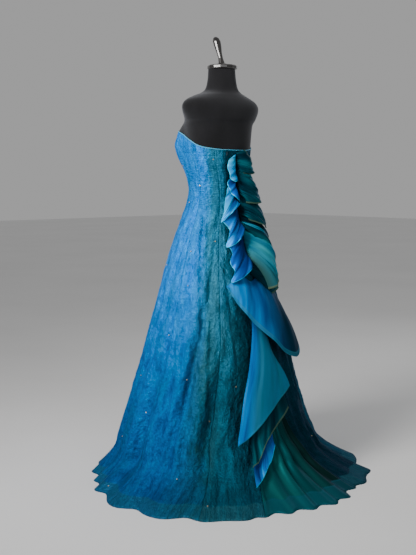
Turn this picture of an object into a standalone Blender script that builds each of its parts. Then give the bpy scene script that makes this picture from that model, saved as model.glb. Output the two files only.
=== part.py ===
"""Strapless ballroom gown with a ruffle cascade down its back, on a limbless dress form.

Metres, +Z up. The floor is Z 0, the stand's pole is the Z axis, the gown's front faces -Y
and its left side is +X. Angles go round the gown from its centre back towards its left side.
"""

import math
from collections import namedtuple

import bpy
from mathutils import Vector

# Cloth and seams
WALL = 0.002  # bodice and skirt: taffeta, lining and boning together
RUFFLE_WALL = 0.0012  # doubled organza
SEAM_GAP = 0.0003
STEP = 1e-4  # for slopes worked out by small differences
WALL_TURN = 2.0  # degrees; a panel's thickness is laid off square to the shape over this much
WALL_RISE = 0.02

# Heights that the garment is cut to
WAIST_HEIGHT = 1.10
HIP_HEIGHT = 0.90
KNEE_HEIGHT = 0.42  # the godet is let in below here
UNDERBUST_HEIGHT = 1.20
FLARE_HEIGHT = 0.12  # the hem spreads on the floor from here down
FLARE_POWER = 1.8

# The gown's level sections, from the floor up: half of its width, how far its front and back
# stand from the pole, and how far each bust cup stands out of that oval
Section = namedtuple("Section", "height half_width front back cup")
SECTIONS = [
    Section(0.000, 0.440, 0.420, 0.420, 0.000),
    Section(0.120, 0.408, 0.392, 0.372, 0.000),
    Section(0.190, 0.388, 0.374, 0.318, 0.000),
    Section(0.270, 0.364, 0.350, 0.288, 0.000),
    Section(0.360, 0.338, 0.327, 0.262, 0.000),
    Section(0.460, 0.311, 0.302, 0.246, 0.000),
    Section(0.560, 0.285, 0.276, 0.224, 0.000),
    Section(0.660, 0.257, 0.249, 0.198, 0.000),
    Section(0.760, 0.230, 0.222, 0.172, 0.000),
    Section(0.860, 0.201, 0.193, 0.146, 0.000),
    Section(0.930, 0.178, 0.172, 0.126, 0.000),
    Section(1.000, 0.153, 0.149, 0.106, 0.000),
    Section(1.050, 0.134, 0.132, 0.093, 0.000),
    Section(1.100, 0.123, 0.122, 0.085, 0.000),
    Section(1.137, 0.124, 0.121, 0.084, 0.005),
    Section(1.180, 0.130, 0.121, 0.084, 0.017),
    Section(1.230, 0.139, 0.124, 0.086, 0.036),
    Section(1.276, 0.145, 0.128, 0.089, 0.045),
    Section(1.300, 0.145, 0.127, 0.089, 0.041),
    Section(1.340, 0.143, 0.126, 0.088, 0.030),
]
CUP_ANGLE = 147.0
CUP_SPREAD = 21.0

# How far the hem reaches from the pole, where it lies on the floor
Hem = namedtuple("Hem", "angle reach")
HEM = [
    Hem(-180, 0.500), Hem(-150, 0.497), Hem(-120, 0.512), Hem(-90, 0.560), Hem(-60, 0.580),
    Hem(-42, 0.586), Hem(-28, 0.578), Hem(-20, 0.552), Hem(-8, 0.580), Hem(12, 0.562),
    Hem(26, 0.560), Hem(40, 0.592), Hem(70, 0.588), Hem(90, 0.562), Hem(110, 0.510),
    Hem(135, 0.495), Hem(160, 0.497), Hem(180, 0.500),
]

# The neckline's height round the body, the same on both sides
Neck = namedtuple("Neck", "angle height")
NECKLINE = [
    Neck(0, 1.258), Neck(30, 1.260), Neck(68, 1.272), Neck(98, 1.297),
    Neck(120, 1.318), Neck(145, 1.335), Neck(165, 1.330), Neck(180, 1.323),
]

# Seams, by their angle at the hem, knee, hip, waist and neckline
SEAM_HEIGHTS = (0.0, KNEE_HEIGHT, HIP_HEIGHT, WAIST_HEIGHT, 1.26)
Seam = namedtuple("Seam", "hem knee hip waist top")
BACK_RIGHT = Seam(-21, -5.5, -10, -14, -14)
BACK_LEFT = Seam(27, 5.5, 10, 14, 14)
PRINCESS_BACK = Seam(50, 37, 35, 33, 40)
SIDE = Seam(87, 82, 80, 77, 80)
PRINCESS_FRONT = Seam(137, 140, 142, 145, 141)

# Folds of the skirt
FOLD_COUNT = 22
FOLD_DEPTH = 0.013
FOLD_TOP = 0.98
GODET_PLEATS = 5
GODET_DEPTH = 0.012
# The deepest folds: angle at the hem and at the knee, half width in degrees, depth, top
Fold = namedtuple("Fold", "hem knee spread depth top")
DEEP_FOLDS = [
    Fold(54, 36, 4.0, 0.022, 0.62),
    Fold(74, 58, 3.5, 0.014, 1.02),
    Fold(97, 88, 4.0, 0.014, 0.70),
    Fold(118, 116, 4.0, 0.012, 0.60),
    Fold(149, 150, 4.0, 0.012, 0.60),
    Fold(-52, -40, 4.0, 0.018, 0.60),
    Fold(-76, -66, 4.0, 0.014, 0.95),
    Fold(-108, -104, 4.0, 0.014, 0.65),
    Fold(-150, -148, 4.0, 0.012, 0.62),
]

# The rows of points down the gown, from the neckline to the hem
BODICE_ROWS = 4  # above the underbust
SKIRT_ROWS = (
    1.155, 1.118, 1.082, 1.04, 0.985, 0.92, 0.84, 0.74, 0.63, 0.52, KNEE_HEIGHT,
    0.33, 0.25, 0.18, 0.12, 0.085, 0.05, 0.022, 0.0,
)

# The two flounces, a row for each fold of the free edge: the height of the hollow where the
# edge points straight out from the gown, then the height and sideways place of the fold's tip,
# measured from the centre back, how far the tip stands off and how far the fold swells
Frill = namedtuple("Frill", "hollow tip across stand puff")
HOLLOW_REACH = 0.30  # how much of the way to the tip the edge keeps in a hollow
HOLLOW_STAND = 0.70  # of the swell
SEAM_STAND = 0.0014
TAIL_STAND = 0.0004
SEAM_RISE = 0.012  # the seam is this much higher than a hollow of the edge
UPRIGHT = 0.12  # a flounce stands up from its seam before it turns over
CURL = 0.006  # a fold's lower half stands out over the next fold
ROUNDNESS = 0.4
CREST = 0.017  # clears the folds at the hem
RUFFLE_STEPS = 8  # points to each fold
RUFFLE_ROWS = 6
LEFT_FRILLS = [
    Frill(1.242, 1.190, 0.036, 0.014, 0.040),
    Frill(1.178, 1.112, 0.038, 0.020, 0.050),
    Frill(1.090, 0.990, 0.083, 0.016, 0.075),
    Frill(0.970, 0.893, 0.086, 0.018, 0.075),
    Frill(0.872, 0.832, 0.076, 0.022, 0.065),
    Frill(0.820, 0.775, 0.094, 0.026, 0.060),
]
RIGHT_FRILLS = [
    Frill(1.240, 1.190, -0.052, 0.034, 0.055),
    Frill(1.168, 1.095, -0.060, 0.050, 0.070),
    Frill(1.080, 1.000, -0.084, 0.042, 0.080),
    Frill(0.990, 0.932, -0.098, 0.048, 0.085),
    Frill(0.935, 0.868, -0.108, 0.034, 0.080),
    Frill(0.872, 0.828, -0.114, 0.036, 0.078),
    Frill(0.832, 0.782, -0.114, 0.040, 0.070),
]
# Where each ruffle is sewn on: sideways from the centre back, by height
Spine = namedtuple("Spine", "height across")
LEFT_SPINE = [Spine(0.76, 0.0009), Spine(1.26, 0.0009)]
RIGHT_SPINE = [Spine(0.76, -0.0009), Spine(1.26, -0.0009)]
LEFT_END = 0.775
RIGHT_END = 0.768

# The swag below the ruffles and the three tails under it, each a sheet of rulings told from
# its left edge to its right one: the height, sideways place and stand-off of the upper end of
# the ruling and of its end at the hem, and its swell between them
Drape = namedtuple("Drape", "upper upper_across upper_stand hem hem_across hem_stand puff")
SWAG = [
    Drape(0.750, 0.112, 0.003, 0.737, 0.110, 0.008, 0.007),
    Drape(0.772, 0.076, 0.003, 0.687, 0.098, 0.034, 0.024),
    Drape(0.782, 0.036, 0.003, 0.640, 0.076, 0.038, 0.045),
    Drape(0.764, 0.000, SEAM_STAND, 0.596, 0.042, 0.040, 0.058),
    Drape(0.782, -0.038, 0.003, 0.542, -0.008, 0.044, 0.062),
    Drape(0.780, -0.080, 0.003, 0.484, -0.069, 0.048, 0.062),
    Drape(0.735, -0.120, 0.004, 0.462, -0.120, 0.052, 0.058),
    Drape(0.660, -0.150, 0.004, 0.490, -0.160, 0.052, 0.050),
    Drape(0.590, -0.168, 0.004, 0.560, -0.176, 0.030, 0.025),
]
UPPER_TAIL = [
    Drape(0.660, 0.022, SEAM_STAND, 0.168, 0.196, 0.034, 0.044),
    Drape(0.665, 0.000, SEAM_STAND, 0.205, 0.140, 0.032, 0.052),
    Drape(0.650, -0.022, SEAM_STAND, 0.262, 0.068, 0.032, 0.050),
    Drape(0.560, -0.026, SEAM_STAND, 0.315, -0.008, 0.032, 0.046),
    Drape(0.500, -0.028, SEAM_STAND, 0.362, -0.080, 0.030, 0.040),
]
MIDDLE_TAIL = [
    Drape(0.480, 0.020, TAIL_STAND, 0.100, 0.176, 0.018, 0.022),
    Drape(0.485, 0.007, TAIL_STAND, 0.130, 0.136, 0.018, 0.024),
    Drape(0.485, -0.007, TAIL_STAND, 0.170, 0.088, 0.018, 0.024),
    Drape(0.480, -0.018, TAIL_STAND, 0.222, 0.026, 0.018, 0.022),
    Drape(0.465, -0.026, TAIL_STAND, 0.282, -0.062, 0.017, 0.020),
]
LOWER_TAIL = [
    Drape(0.446, 0.018, TAIL_STAND, 0.050, 0.191, 0.007, 0.008),
    Drape(0.451, 0.006, TAIL_STAND, 0.074, 0.151, 0.007, 0.008),
    Drape(0.451, -0.008, TAIL_STAND, 0.108, 0.109, 0.007, 0.008),
    Drape(0.441, -0.020, TAIL_STAND, 0.162, 0.051, 0.007, 0.007),
]
DRAPE_STEPS = 3  # points between two rulings
DRAPE_ROWS = 6
RIPPLE = 0.003
SETTLE = 4  # a ruffle follows the gown's own folds in this fraction of its depth

# The placket over the zip
PLACKET_WALL = 0.001
PLACKET_STAND = 0.0009
PLACKET_RIGHT = 14.8  # degrees
PLACKET_LEFT = 22.0
PLACKET_END = 0.92

# The dress form: heights above and below the stretch where it fills the bodice
FIT_GAP = 0.0014
FIT_ROWS = 8
FORM_BELOW = [
    Section(0.860, 0.148, 0.105, 0.104, 0.000),
    Section(0.872, 0.160, 0.115, 0.112, 0.000),
    Section(0.930, 0.167, 0.122, 0.116, 0.000),
    Section(0.985, 0.150, 0.124, 0.103, 0.000),
    Section(1.040, 0.128, 0.120, 0.088, 0.000),
]
FORM_ABOVE = [
    Section(1.350, 0.147, 0.118, 0.094, 0.020),
    Section(1.375, 0.162, 0.094, 0.100, 0.004),
    Section(1.402, 0.178, 0.082, 0.101, 0.000),
    Section(1.425, 0.182, 0.072, 0.098, 0.000),
    Section(1.445, 0.165, 0.062, 0.091, 0.000),
    Section(1.462, 0.126, 0.054, 0.082, 0.000),
    Section(1.476, 0.086, 0.047, 0.074, 0.000),
    Section(1.492, 0.066, 0.042, 0.069, 0.000),
    Section(1.525, 0.056, 0.038, 0.065, 0.000),
    Section(1.565, 0.052, 0.038, 0.062, 0.000),
]
FORM_COLUMNS = 36
NECK_CENTRE = 0.012  # behind the pole

# The neck cap and the finial turned in one with it, which leans forward
Turning = namedtuple("Turning", "height radius lean")
FINIAL = [
    Turning(1.5650, 0.054, 0.000), Turning(1.5680, 0.0570, 0.000), Turning(1.5760, 0.0570, 0.000),
    Turning(1.5800, 0.052, 0.001), Turning(1.5830, 0.0240, 0.002), Turning(1.5890, 0.0120, 0.004),
    Turning(1.6080, 0.009, 0.010), Turning(1.6300, 0.0105, 0.018), Turning(1.6550, 0.0140, 0.026),
    Turning(1.6730, 0.015, 0.032), Turning(1.6850, 0.0110, 0.036), Turning(1.6900, 0.0050, 0.038),
]
FINIAL_COLUMNS = 14

# The stand
POLE_RADIUS = 0.016
BASE_RADIUS = 0.17
BASE_HEIGHT = 0.014
BASE_BEVEL = 0.003


def ease(share):
    """A smooth 0 to 1."""
    share = min(1.0, max(0.0, share))
    return share * share * (3 - 2 * share)


def smooth_table(rows, at):
    """The table's other columns where its first one is at, on a smooth line through its rows."""
    at = min(max(at, rows[0][0]), rows[-1][0])
    k = 0
    while k < len(rows) - 2 and rows[k + 1][0] < at:
        k += 1
    low, high = rows[k], rows[k + 1]
    before, after = rows[max(k - 1, 0)], rows[min(k + 2, len(rows) - 1)]
    span = high[0] - low[0]
    t = (at - low[0]) / span
    values = []
    for column in range(1, len(low)):
        slope_low = (high[column] - before[column]) / (high[0] - before[0])
        slope_high = (after[column] - low[column]) / (after[0] - low[0])
        value = low[column] * (1 + 2 * t) * (1 - t) ** 2 + high[column] * t * t * (3 - 2 * t)
        value += slope_low * span * t * (1 - t) ** 2 + slope_high * span * t * t * (t - 1)
        values.append(value)
    return values


def wrapped(degrees):
    return (degrees + 180) % 360 - 180


def level_direction(degrees):
    return Vector((math.sin(math.radians(degrees)), math.cos(math.radians(degrees)), 0))


def seam(row, mirrored=False):
    """The seam's angle as a function of height."""
    rows = list(zip(SEAM_HEIGHTS, row))
    sign = -1 if mirrored else 1
    return lambda height: sign * smooth_table(rows, height)[0]


def neckline_height(degrees):
    return smooth_table(NECKLINE, abs(wrapped(degrees)))[0]


def bump(distance, spread):
    return math.exp(-((distance / spread) ** 2))


def fold_of(degrees, height):
    """How far the skirt stands in or out of its plain section."""
    growth = ease((FOLD_TOP - height) / FOLD_TOP) ** 1.3
    turn = math.radians(degrees)
    wander = 1.1 * math.sin(3 * turn + 0.6) + 0.8 * math.sin(5 * turn + 2.0)
    size = 0.72 + 0.28 * math.sin(4 * turn + 0.9)
    right = seam(BACK_RIGHT)(height)
    left = seam(BACK_LEFT)(height)
    inside = ease((degrees - right + 7) / 7) * ease((left - degrees + 7) / 7)
    moved = FOLD_DEPTH * growth * size * math.cos(FOLD_COUNT * turn + wander) * (1 - inside)
    for fold in DEEP_FOLDS:
        centre = fold.hem + (fold.knee - fold.hem) * height / KNEE_HEIGHT
        away = wrapped(degrees - centre)
        depth = fold.depth * ease((fold.top - height) / fold.top * 2)
        moved -= depth * bump(away, fold.spread)
        moved += 0.45 * depth * bump(away - 1.9 * fold.spread, fold.spread)
    if inside > 0 and height < KNEE_HEIGHT:
        share = (degrees - right) / (left - right)
        opening = ease((KNEE_HEIGHT - height) / KNEE_HEIGHT)
        moved += inside * GODET_DEPTH * opening * math.cos(2 * math.pi * GODET_PLEATS * share)
    return moved


def oval_point(table, degrees, height):
    """A point of the level section that the table gives at this height."""
    half_width, front, back, cup = smooth_table(table, height)
    out = level_direction(degrees)
    point = Vector((half_width * out.x, (back if out.y > 0 else front) * out.y, height))
    return point + out * cup * bump(abs(wrapped(degrees)) - CUP_ANGLE, CUP_SPREAD)


def gown_point(degrees, height, folded=True):
    """A point of the gown's outside."""
    point = oval_point(SECTIONS, degrees, height)
    out = level_direction(degrees)
    flare = max(0.0, 1 - height / FLARE_HEIGHT) ** FLARE_POWER
    if flare > 0:
        reach = smooth_table(HEM, wrapped(degrees))[0]
        point = point.lerp(out * reach + Vector((0, 0, height)), flare)
    return point + out * fold_of(degrees, height) if folded else point


def gown_outward(degrees, height, folded=True, turn=0.05, rise=STEP):
    """The direction square to the gown's outside, taken over a turn and a rise to each side."""
    low = max(height - rise, 0.0)
    down = gown_point(degrees, low, folded) - gown_point(degrees, low + 2 * rise, folded)
    along = gown_point(degrees - turn, height, folded) - gown_point(degrees + turn, height, folded)
    return down.cross(along).normalized()


def row_heights(degrees):
    """The heights of the points down the gown at this angle."""
    top = neckline_height(degrees)
    bodice = [top + (UNDERBUST_HEIGHT - top) * i / BODICE_ROWS for i in range(BODICE_ROWS)]
    return bodice + [UNDERBUST_HEIGHT] + list(SKIRT_ROWS)


def material(name, colour, roughness, metallic=0.0):
    made = bpy.data.materials.new(name)
    made.use_nodes = True
    shader = made.node_tree.nodes["Principled BSDF"]
    shader.inputs["Base Color"].default_value = (*colour, 1.0)
    shader.inputs["Roughness"].default_value = roughness
    shader.inputs["Metallic"].default_value = metallic
    made.diffuse_color = (*colour, 1.0)
    return made


def node(name, points, faces, finish, sharp=40):
    """A named piece with its own mesh and material."""
    mesh = bpy.data.meshes.new(name)
    mesh.from_pydata(points, [], faces)
    mesh.validate()
    mesh.shade_smooth()
    mesh.set_sharp_from_angle(angle=math.radians(sharp))
    mesh.materials.append(finish)
    made = bpy.data.objects.new(name, mesh)
    gown.objects.link(made)
    return made


def wall(name, outer, inner, finish):
    """A closed wall between two grids of points, rows running down and columns to the right."""
    rows, columns = len(outer), len(outer[0])
    points = [p for grid in (outer, inner) for row in grid for p in row]

    def at(side, row, column):
        return side * rows * columns + row * columns + column

    faces = []
    for r in range(rows - 1):
        for c in range(columns - 1):
            quad = [(r, c), (r + 1, c), (r + 1, c + 1), (r, c + 1)]
            falling = (outer[r][c] - outer[r + 1][c + 1]).length
            rising = (outer[r + 1][c] - outer[r][c + 1]).length
            if rising < falling:  # both sides of the wall are split along the shorter diagonal
                quad = quad[1:] + quad[:1]
            for half in (quad[:3], [quad[0], quad[2], quad[3]]):
                faces.append([at(0, *corner) for corner in half])
                faces.append([at(1, *corner) for corner in reversed(half)])
    rim = [(0, c) for c in range(columns)]
    rim += [(r, columns - 1) for r in range(1, rows)]
    rim += [(rows - 1, c) for c in range(columns - 2, -1, -1)]
    rim += [(r, 0) for r in range(rows - 2, 0, -1)]
    for a, b in zip(rim, rim[1:] + rim[:1]):
        corners = [at(0, *a), at(0, *b), at(1, *b), at(1, *a)]
        if b[0] < a[0]:  # both sides of a seam are split along the same diagonal
            corners = corners[1:] + corners[:1]
        faces.append([corners[0], corners[1], corners[2]])
        faces.append([corners[0], corners[2], corners[3]])
    return node(name, points, faces, finish)


def gore(name, start, end, columns, finish, top=None, bottom=None):
    """A panel of the gown between two seams, start being the one further to the gown's left."""
    middle = (start(WAIST_HEIGHT) + end(WAIST_HEIGHT)) / 2
    rows = range(len(row_heights(middle)))
    first = BODICE_ROWS + 1 + SKIRT_ROWS.index(top) if top else 0
    last = BODICE_ROWS + 1 + SKIRT_ROWS.index(bottom) if bottom else rows[-1]
    outer, inner = [], []
    for r in rows[first:last + 1]:
        outer_row, inner_row = [], []
        for c in range(columns + 1):
            height = row_heights(middle)[r]
            for _ in range(2):  # the neckline's height hangs on the angle, and the angle on the height
                degrees = start(height) + (end(height) - start(height)) * c / columns
                height = row_heights(degrees)[r]
            if top and r == first:
                height -= SEAM_GAP / 2
            if bottom and r == last:
                height += SEAM_GAP / 2
            spread = (gown_point(degrees + 0.05, height) - gown_point(degrees - 0.05, height)).length * 10
            trim = SEAM_GAP / 2 / spread
            degrees += -trim if c == 0 else trim if c == columns else 0.0
            point = gown_point(degrees, height)
            out = gown_outward(degrees, height, True, WALL_TURN, WALL_RISE)
            inside = point - out * WALL
            if r in (first, last):  # level edges
                level = Vector((out.x, out.y, 0))
                inside = point - level.normalized() * min(WALL / level.length, 3 * WALL)
            outer_row.append(point)
            inner_row.append(inside)
        outer.append(outer_row)
        inner.append(inner_row)
    return wall(name, outer, inner, finish)


def on_gown(across, height, stand, depth):
    """A point off the gown, across being sideways from the centre back and depth 0 at the seam."""
    half_width = smooth_table(SECTIONS, height)[0]
    degrees = math.degrees(math.asin(max(-0.95, min(0.95, across / half_width))))
    out = gown_outward(degrees, height, False)
    crest = CREST * ease((FOLD_TOP - height) / FOLD_TOP) ** 1.3
    clear = gown_point(degrees, height, False) + out * crest
    return gown_point(degrees, height).lerp(clear, ease(depth * SETTLE)) + out * stand


def sheet(name, place, down, along, thickness, finish):
    """A wall whose middle is place(u, v), u from 0 to 1 along it and v from 0 to 1 down it."""
    outer, inner = [], []
    for r in range(down + 1):
        outer_row, inner_row = [], []
        for c in range(along + 1):
            u, v = c / along, r / down
            across = place(min((c + 1) / along, 1), v) - place(max((c - 1) / along, 0), v)
            downward = place(u, min((r + 1) / down, 1)) - place(u, max((r - 1) / down, 0))
            out = downward.cross(across).normalized() * thickness / 2
            outer_row.append(place(u, v) + out)
            inner_row.append(place(u, v) - out)
        outer.append(outer_row)
        inner.append(inner_row)
    return wall(name, outer, inner, finish)


def bend(start, middle, end, t):
    """A point on the curve that leaves start towards middle and comes into end from it."""
    return [a * (1 - t) ** 2 + b * 2 * t * (1 - t) + c * t * t for a, b, c in zip(start, middle, end)]


def ruffle(name, frills, spine, ending, finish):
    """A flounce sewn down its spine, its free edge swinging in and out fold by fold."""
    hollows = [frill.hollow for frill in frills] + [ending]
    seam_line = [(k, height + SEAM_RISE) for k, height in enumerate(hollows)]
    swell = [frill.puff for frill in frills]
    swell = [(a + b) / 2 for a, b in zip(swell[:1] + swell, swell + swell[-1:])]

    def place(u, v):
        turn = u * len(frills)
        k = min(int(turn), len(frills) - 1)
        share = turn - k
        frill = frills[k]
        out = (0.5 - 0.5 * math.cos(2 * math.pi * share)) ** ROUNDNESS
        seam_height = smooth_table(seam_line, turn)[0]
        seam_across = smooth_table(spine, seam_height)[0]
        level = hollows[k] + (hollows[k + 1] - hollows[k]) * share
        height = level + (frill.tip - (hollows[k] + hollows[k + 1]) / 2) * out
        reach = HOLLOW_REACH + (1 - HOLLOW_REACH) * out
        across = seam_across + (frill.across - seam_across) * reach
        straight = swell[k] + (swell[k + 1] - swell[k]) * share
        stand = HOLLOW_STAND * straight * (1 - out) + frill.stand * out - CURL * math.sin(2 * math.pi * share)
        puff = HOLLOW_STAND / 2 * straight * (1 - out) + frill.puff * out
        start = (seam_across, seam_height, SEAM_STAND)
        middle = (seam_across + UPRIGHT * (across - seam_across), (seam_height + height) / 2, puff)
        return on_gown(*bend(start, middle, (across, height, stand), v), v)

    return sheet(name, place, RUFFLE_ROWS, len(frills) * RUFFLE_STEPS, RUFFLE_WALL, finish)


def placket(name, finish):
    """The strip that covers the zip, on the back left panel beside its seam."""
    heights = [h for h in row_heights(PLACKET_RIGHT) if h >= PLACKET_END]
    heights[0] -= STEP * 5

    def place(u, v):
        row = min(int(v * (len(heights) - 1)), len(heights) - 2)
        height = heights[row] + (heights[row + 1] - heights[row]) * (v * (len(heights) - 1) - row)
        degrees = PLACKET_LEFT + (PLACKET_RIGHT - PLACKET_LEFT) * u
        return gown_point(degrees, height) + gown_outward(degrees, height) * PLACKET_STAND

    return sheet(name, place, len(heights) - 1, 3, PLACKET_WALL, finish)


def drape(name, rulings, waves, finish):
    """A hanging sheet through its rulings, with long soft waves across them."""
    stops = [(k, *ruling) for k, ruling in enumerate(rulings)]

    def place(u, v):
        row = Drape(*smooth_table(stops, u * (len(stops) - 1)))
        start = (row.upper_across, row.upper, row.upper_stand)
        end = (row.hem_across, row.hem, row.hem_stand)
        wave = RIPPLE * math.cos(2 * math.pi * waves * u) * ease(v)
        middle = ((start[0] + end[0]) / 2, (start[1] + end[1]) / 2, row.puff)
        across, height, stand = bend(start, middle, end, v)
        return on_gown(across, height, stand + wave, v)

    return sheet(name, place, DRAPE_ROWS, (len(stops) - 1) * DRAPE_STEPS, RUFFLE_WALL, finish)


def rings(name, levels, finish, sharp=40):
    """A solid through closed rings of points, from the lowest up, closed flat at both ends."""
    count = len(levels[0])
    points = [p for ring in levels for p in ring]
    faces = [list(range(count)), [len(points) - 1 - i for i in range(count)]]
    for k in range(len(levels) - 1):
        for i in range(count):
            j = (i + 1) % count
            low, high = k * count, (k + 1) * count
            faces.append([low + j, low + i, high + i, high + j])
    return node(name, points, faces, finish, sharp)


def torso(name, finish):
    angles = [360 * i / FORM_COLUMNS for i in range(FORM_COLUMNS)]
    levels = [[oval_point(FORM_BELOW, a, row.height) for a in angles] for row in FORM_BELOW]
    for r in reversed(range(FIT_ROWS)):
        heights = [row_heights(a)[r] for a in angles]
        inset = WALL + FIT_GAP
        levels.append([gown_point(a, h) - gown_outward(a, h) * inset for a, h in zip(angles, heights)])
    levels += [[oval_point(FORM_ABOVE, a, row.height) for a in angles] for row in FORM_ABOVE]
    return rings(name, levels, finish, 60)


def finial(name, finish):
    levels = []
    for row in FINIAL:
        centre = Vector((0, NECK_CENTRE - row.lean, row.height))
        turns = [360 * i / FINIAL_COLUMNS for i in range(FINIAL_COLUMNS)]
        levels.append([centre + level_direction(a) * row.radius for a in turns])
    return rings(name, levels, finish, 35)


def disc(name, radius, low, high, bevel, finish, sides=40):
    """An upright cylinder round the pole's line, its rims rounded."""
    bpy.ops.mesh.primitive_cylinder_add(
        vertices=sides, radius=radius, depth=high - low, location=(0, 0, (low + high) / 2)
    )
    made = bpy.context.object
    made.name = name
    made.data.name = name
    made.data.materials.append(finish)
    made.data.shade_smooth()
    made.data.set_sharp_from_angle(angle=math.radians(40))
    for collection in list(made.users_collection):
        collection.objects.unlink(made)
    gown.objects.link(made)
    if bevel:
        rounding = made.modifiers.new("rounded rims", "BEVEL")
        rounding.width = bevel
        rounding.segments = 1
        rounding.limit_method = "ANGLE"
        rounding.angle_limit = math.radians(40)
    return made


for old in list(bpy.data.objects):
    bpy.data.objects.remove(old, do_unlink=True)

gown = bpy.data.collections.new("ballroom_gown")
bpy.context.scene.collection.children.link(gown)

taffeta = material("azure taffeta", (0.03, 0.27, 0.48), 0.45)
taffeta_back = material("teal taffeta", (0.02, 0.16, 0.25), 0.45)
organza = material("smooth organza", (0.02, 0.28, 0.55), 0.35)
organza_dark = material("smooth organza in shade", (0.01, 0.12, 0.20), 0.35)
velvet = material("black form cover", (0.006, 0.006, 0.007), 0.9)
lacquer = material("black lacquer", (0.01, 0.01, 0.01), 0.3)
steel = material("black steel", (0.03, 0.03, 0.03), 0.4, 1.0)

for side, mirrored in (("left", False), ("right", True)):
    princess_back = seam(PRINCESS_BACK, mirrored)
    side_seam = seam(SIDE, mirrored)
    princess_front = seam(PRINCESS_FRONT, mirrored)
    middle_seam = seam(BACK_RIGHT if mirrored else BACK_LEFT)
    pairs = [
        ("side_front_" + side, princess_front, side_seam, 13, taffeta),
        ("side_back_" + side, side_seam, princess_back, 11, taffeta),
        ("back_" + side, princess_back, middle_seam, 7, taffeta_back),
    ]
    for name, away, near, columns, finish in pairs:
        start, end = (near, away) if mirrored else (away, near)
        gore(name, start, end, columns, finish)
front_left = seam(PRINCESS_FRONT)
gore("front_panel", lambda h: 360 - front_left(h), front_left, 18, taffeta)
gore("centre_back", seam(BACK_LEFT), seam(BACK_RIGHT), 5, taffeta_back, bottom=KNEE_HEIGHT)
gore("back_godet", seam(BACK_LEFT), seam(BACK_RIGHT), 20, organza_dark, top=KNEE_HEIGHT)

placket("zip_placket", taffeta_back)
ruffle("ruffle_left", LEFT_FRILLS, LEFT_SPINE, LEFT_END, organza)
ruffle("ruffle_right", RIGHT_FRILLS, RIGHT_SPINE, RIGHT_END, organza_dark)
drape("ruffle_swag", SWAG, 4, organza)
drape("ruffle_tail_upper", UPPER_TAIL, 2, organza)
drape("ruffle_tail_middle", MIDDLE_TAIL, 2, organza_dark)
drape("ruffle_tail_lower", LOWER_TAIL, 2, organza)

torso("form_torso", velvet)
finial("form_neck_cap", lacquer)
disc("form_pole", POLE_RADIUS, BASE_HEIGHT, FORM_BELOW[0].height, 0, steel, 24)
disc("form_base", BASE_RADIUS, 0, BASE_HEIGHT, BASE_BEVEL, steel)
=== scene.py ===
# %% [markdown]
# # A strapless ballroom gown on its dress form
#
# The construction of this gown is already a set of solids: gores, flounces, a swag, tails and a
# limbless form, all at real size. This lesson dresses them. Each cloth solid is replaced by a
# finer shell with the same shape, so that crinkles, hems and ripples can be real geometry.

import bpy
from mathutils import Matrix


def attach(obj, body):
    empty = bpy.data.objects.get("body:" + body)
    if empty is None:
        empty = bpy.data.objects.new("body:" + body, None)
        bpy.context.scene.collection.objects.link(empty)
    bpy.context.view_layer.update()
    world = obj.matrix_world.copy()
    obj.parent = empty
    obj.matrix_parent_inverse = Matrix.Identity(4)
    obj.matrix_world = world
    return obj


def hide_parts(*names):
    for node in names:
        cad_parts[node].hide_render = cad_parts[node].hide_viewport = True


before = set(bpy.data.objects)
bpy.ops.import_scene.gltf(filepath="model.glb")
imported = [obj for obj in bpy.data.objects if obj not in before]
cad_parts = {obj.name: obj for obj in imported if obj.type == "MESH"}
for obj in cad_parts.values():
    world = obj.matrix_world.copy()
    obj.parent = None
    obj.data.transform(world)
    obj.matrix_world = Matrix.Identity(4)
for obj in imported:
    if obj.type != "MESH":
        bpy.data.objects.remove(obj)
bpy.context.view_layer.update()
print("nodes in the frame:", len(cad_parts))

# %% [markdown]
# The script uses metres. Blender's own modules make the objects, and numpy works out whole grids
# of points at once, which is far quicker than one point at a time in a Python loop.

# %% Modules and the main sizes
import math
from collections import namedtuple

import bmesh
import bpy
import numpy as np
from mathutils import Matrix, Vector

CLOTH = 0.0016  # taffeta with its lining
ORGANZA = 0.0009  # doubled organza
SEAM_GAP = 0.0003
STEP = 1e-4  # for slopes worked out by small differences, in metres
TURN = 0.05  # and the same in degrees

WAIST_HEIGHT = 1.10
HIP_HEIGHT = 0.90
KNEE_HEIGHT = 0.42  # the godet is let in below here
FLARE_HEIGHT = 0.12  # the hem spreads on the floor from here down
FLARE_POWER = 1.8

# %% [markdown]
# ## The camera
#
# The photograph was taken with a longish lens, from behind the gown's left side and about level
# with its waist. The camera comes first because every later choice is judged through it. Its
# place is a bearing, a distance and a height, which are easier to correct than three bare numbers.

# %% Camera at the photograph's viewing angle
VIEW_BEARING = 137  # degrees round from the front
VIEW_DISTANCE = 3.6
VIEW_HEIGHT = 1.15
VIEW_DROP = 6.1  # degrees below level
PHOTO_WIDTH, PHOTO_HEIGHT = 416, 555
FOCAL_PIXELS = 924
POLE_PIXEL = 220  # how far across the picture the pole stands
SENSOR = 36

bearing = math.radians(VIEW_BEARING)
toward_camera = Vector((math.sin(bearing), -math.cos(bearing), 0))
picture_right = Vector((math.cos(bearing), math.sin(bearing), 0))


def photo_camera():
    turn = math.atan((POLE_PIXEL - PHOTO_WIDTH / 2) / FOCAL_PIXELS)
    level = -toward_camera * math.cos(turn) - picture_right * math.sin(turn)
    right = picture_right * math.cos(turn) - toward_camera * math.sin(turn)
    drop = math.radians(VIEW_DROP)
    ahead = level * math.cos(drop) - Vector((0, 0, math.sin(drop)))
    data = bpy.data.cameras.new("photo camera")
    data.sensor_width = SENSOR
    data.lens = FOCAL_PIXELS / PHOTO_HEIGHT * SENSOR
    made = bpy.data.objects.new("photo camera", data)
    place = Matrix((right, right.cross(ahead), -ahead)).transposed().to_4x4()
    place.translation = toward_camera * VIEW_DISTANCE + Vector((0, 0, VIEW_HEIGHT))
    made.matrix_world = place
    bpy.context.scene.collection.objects.link(made)
    return made


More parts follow.
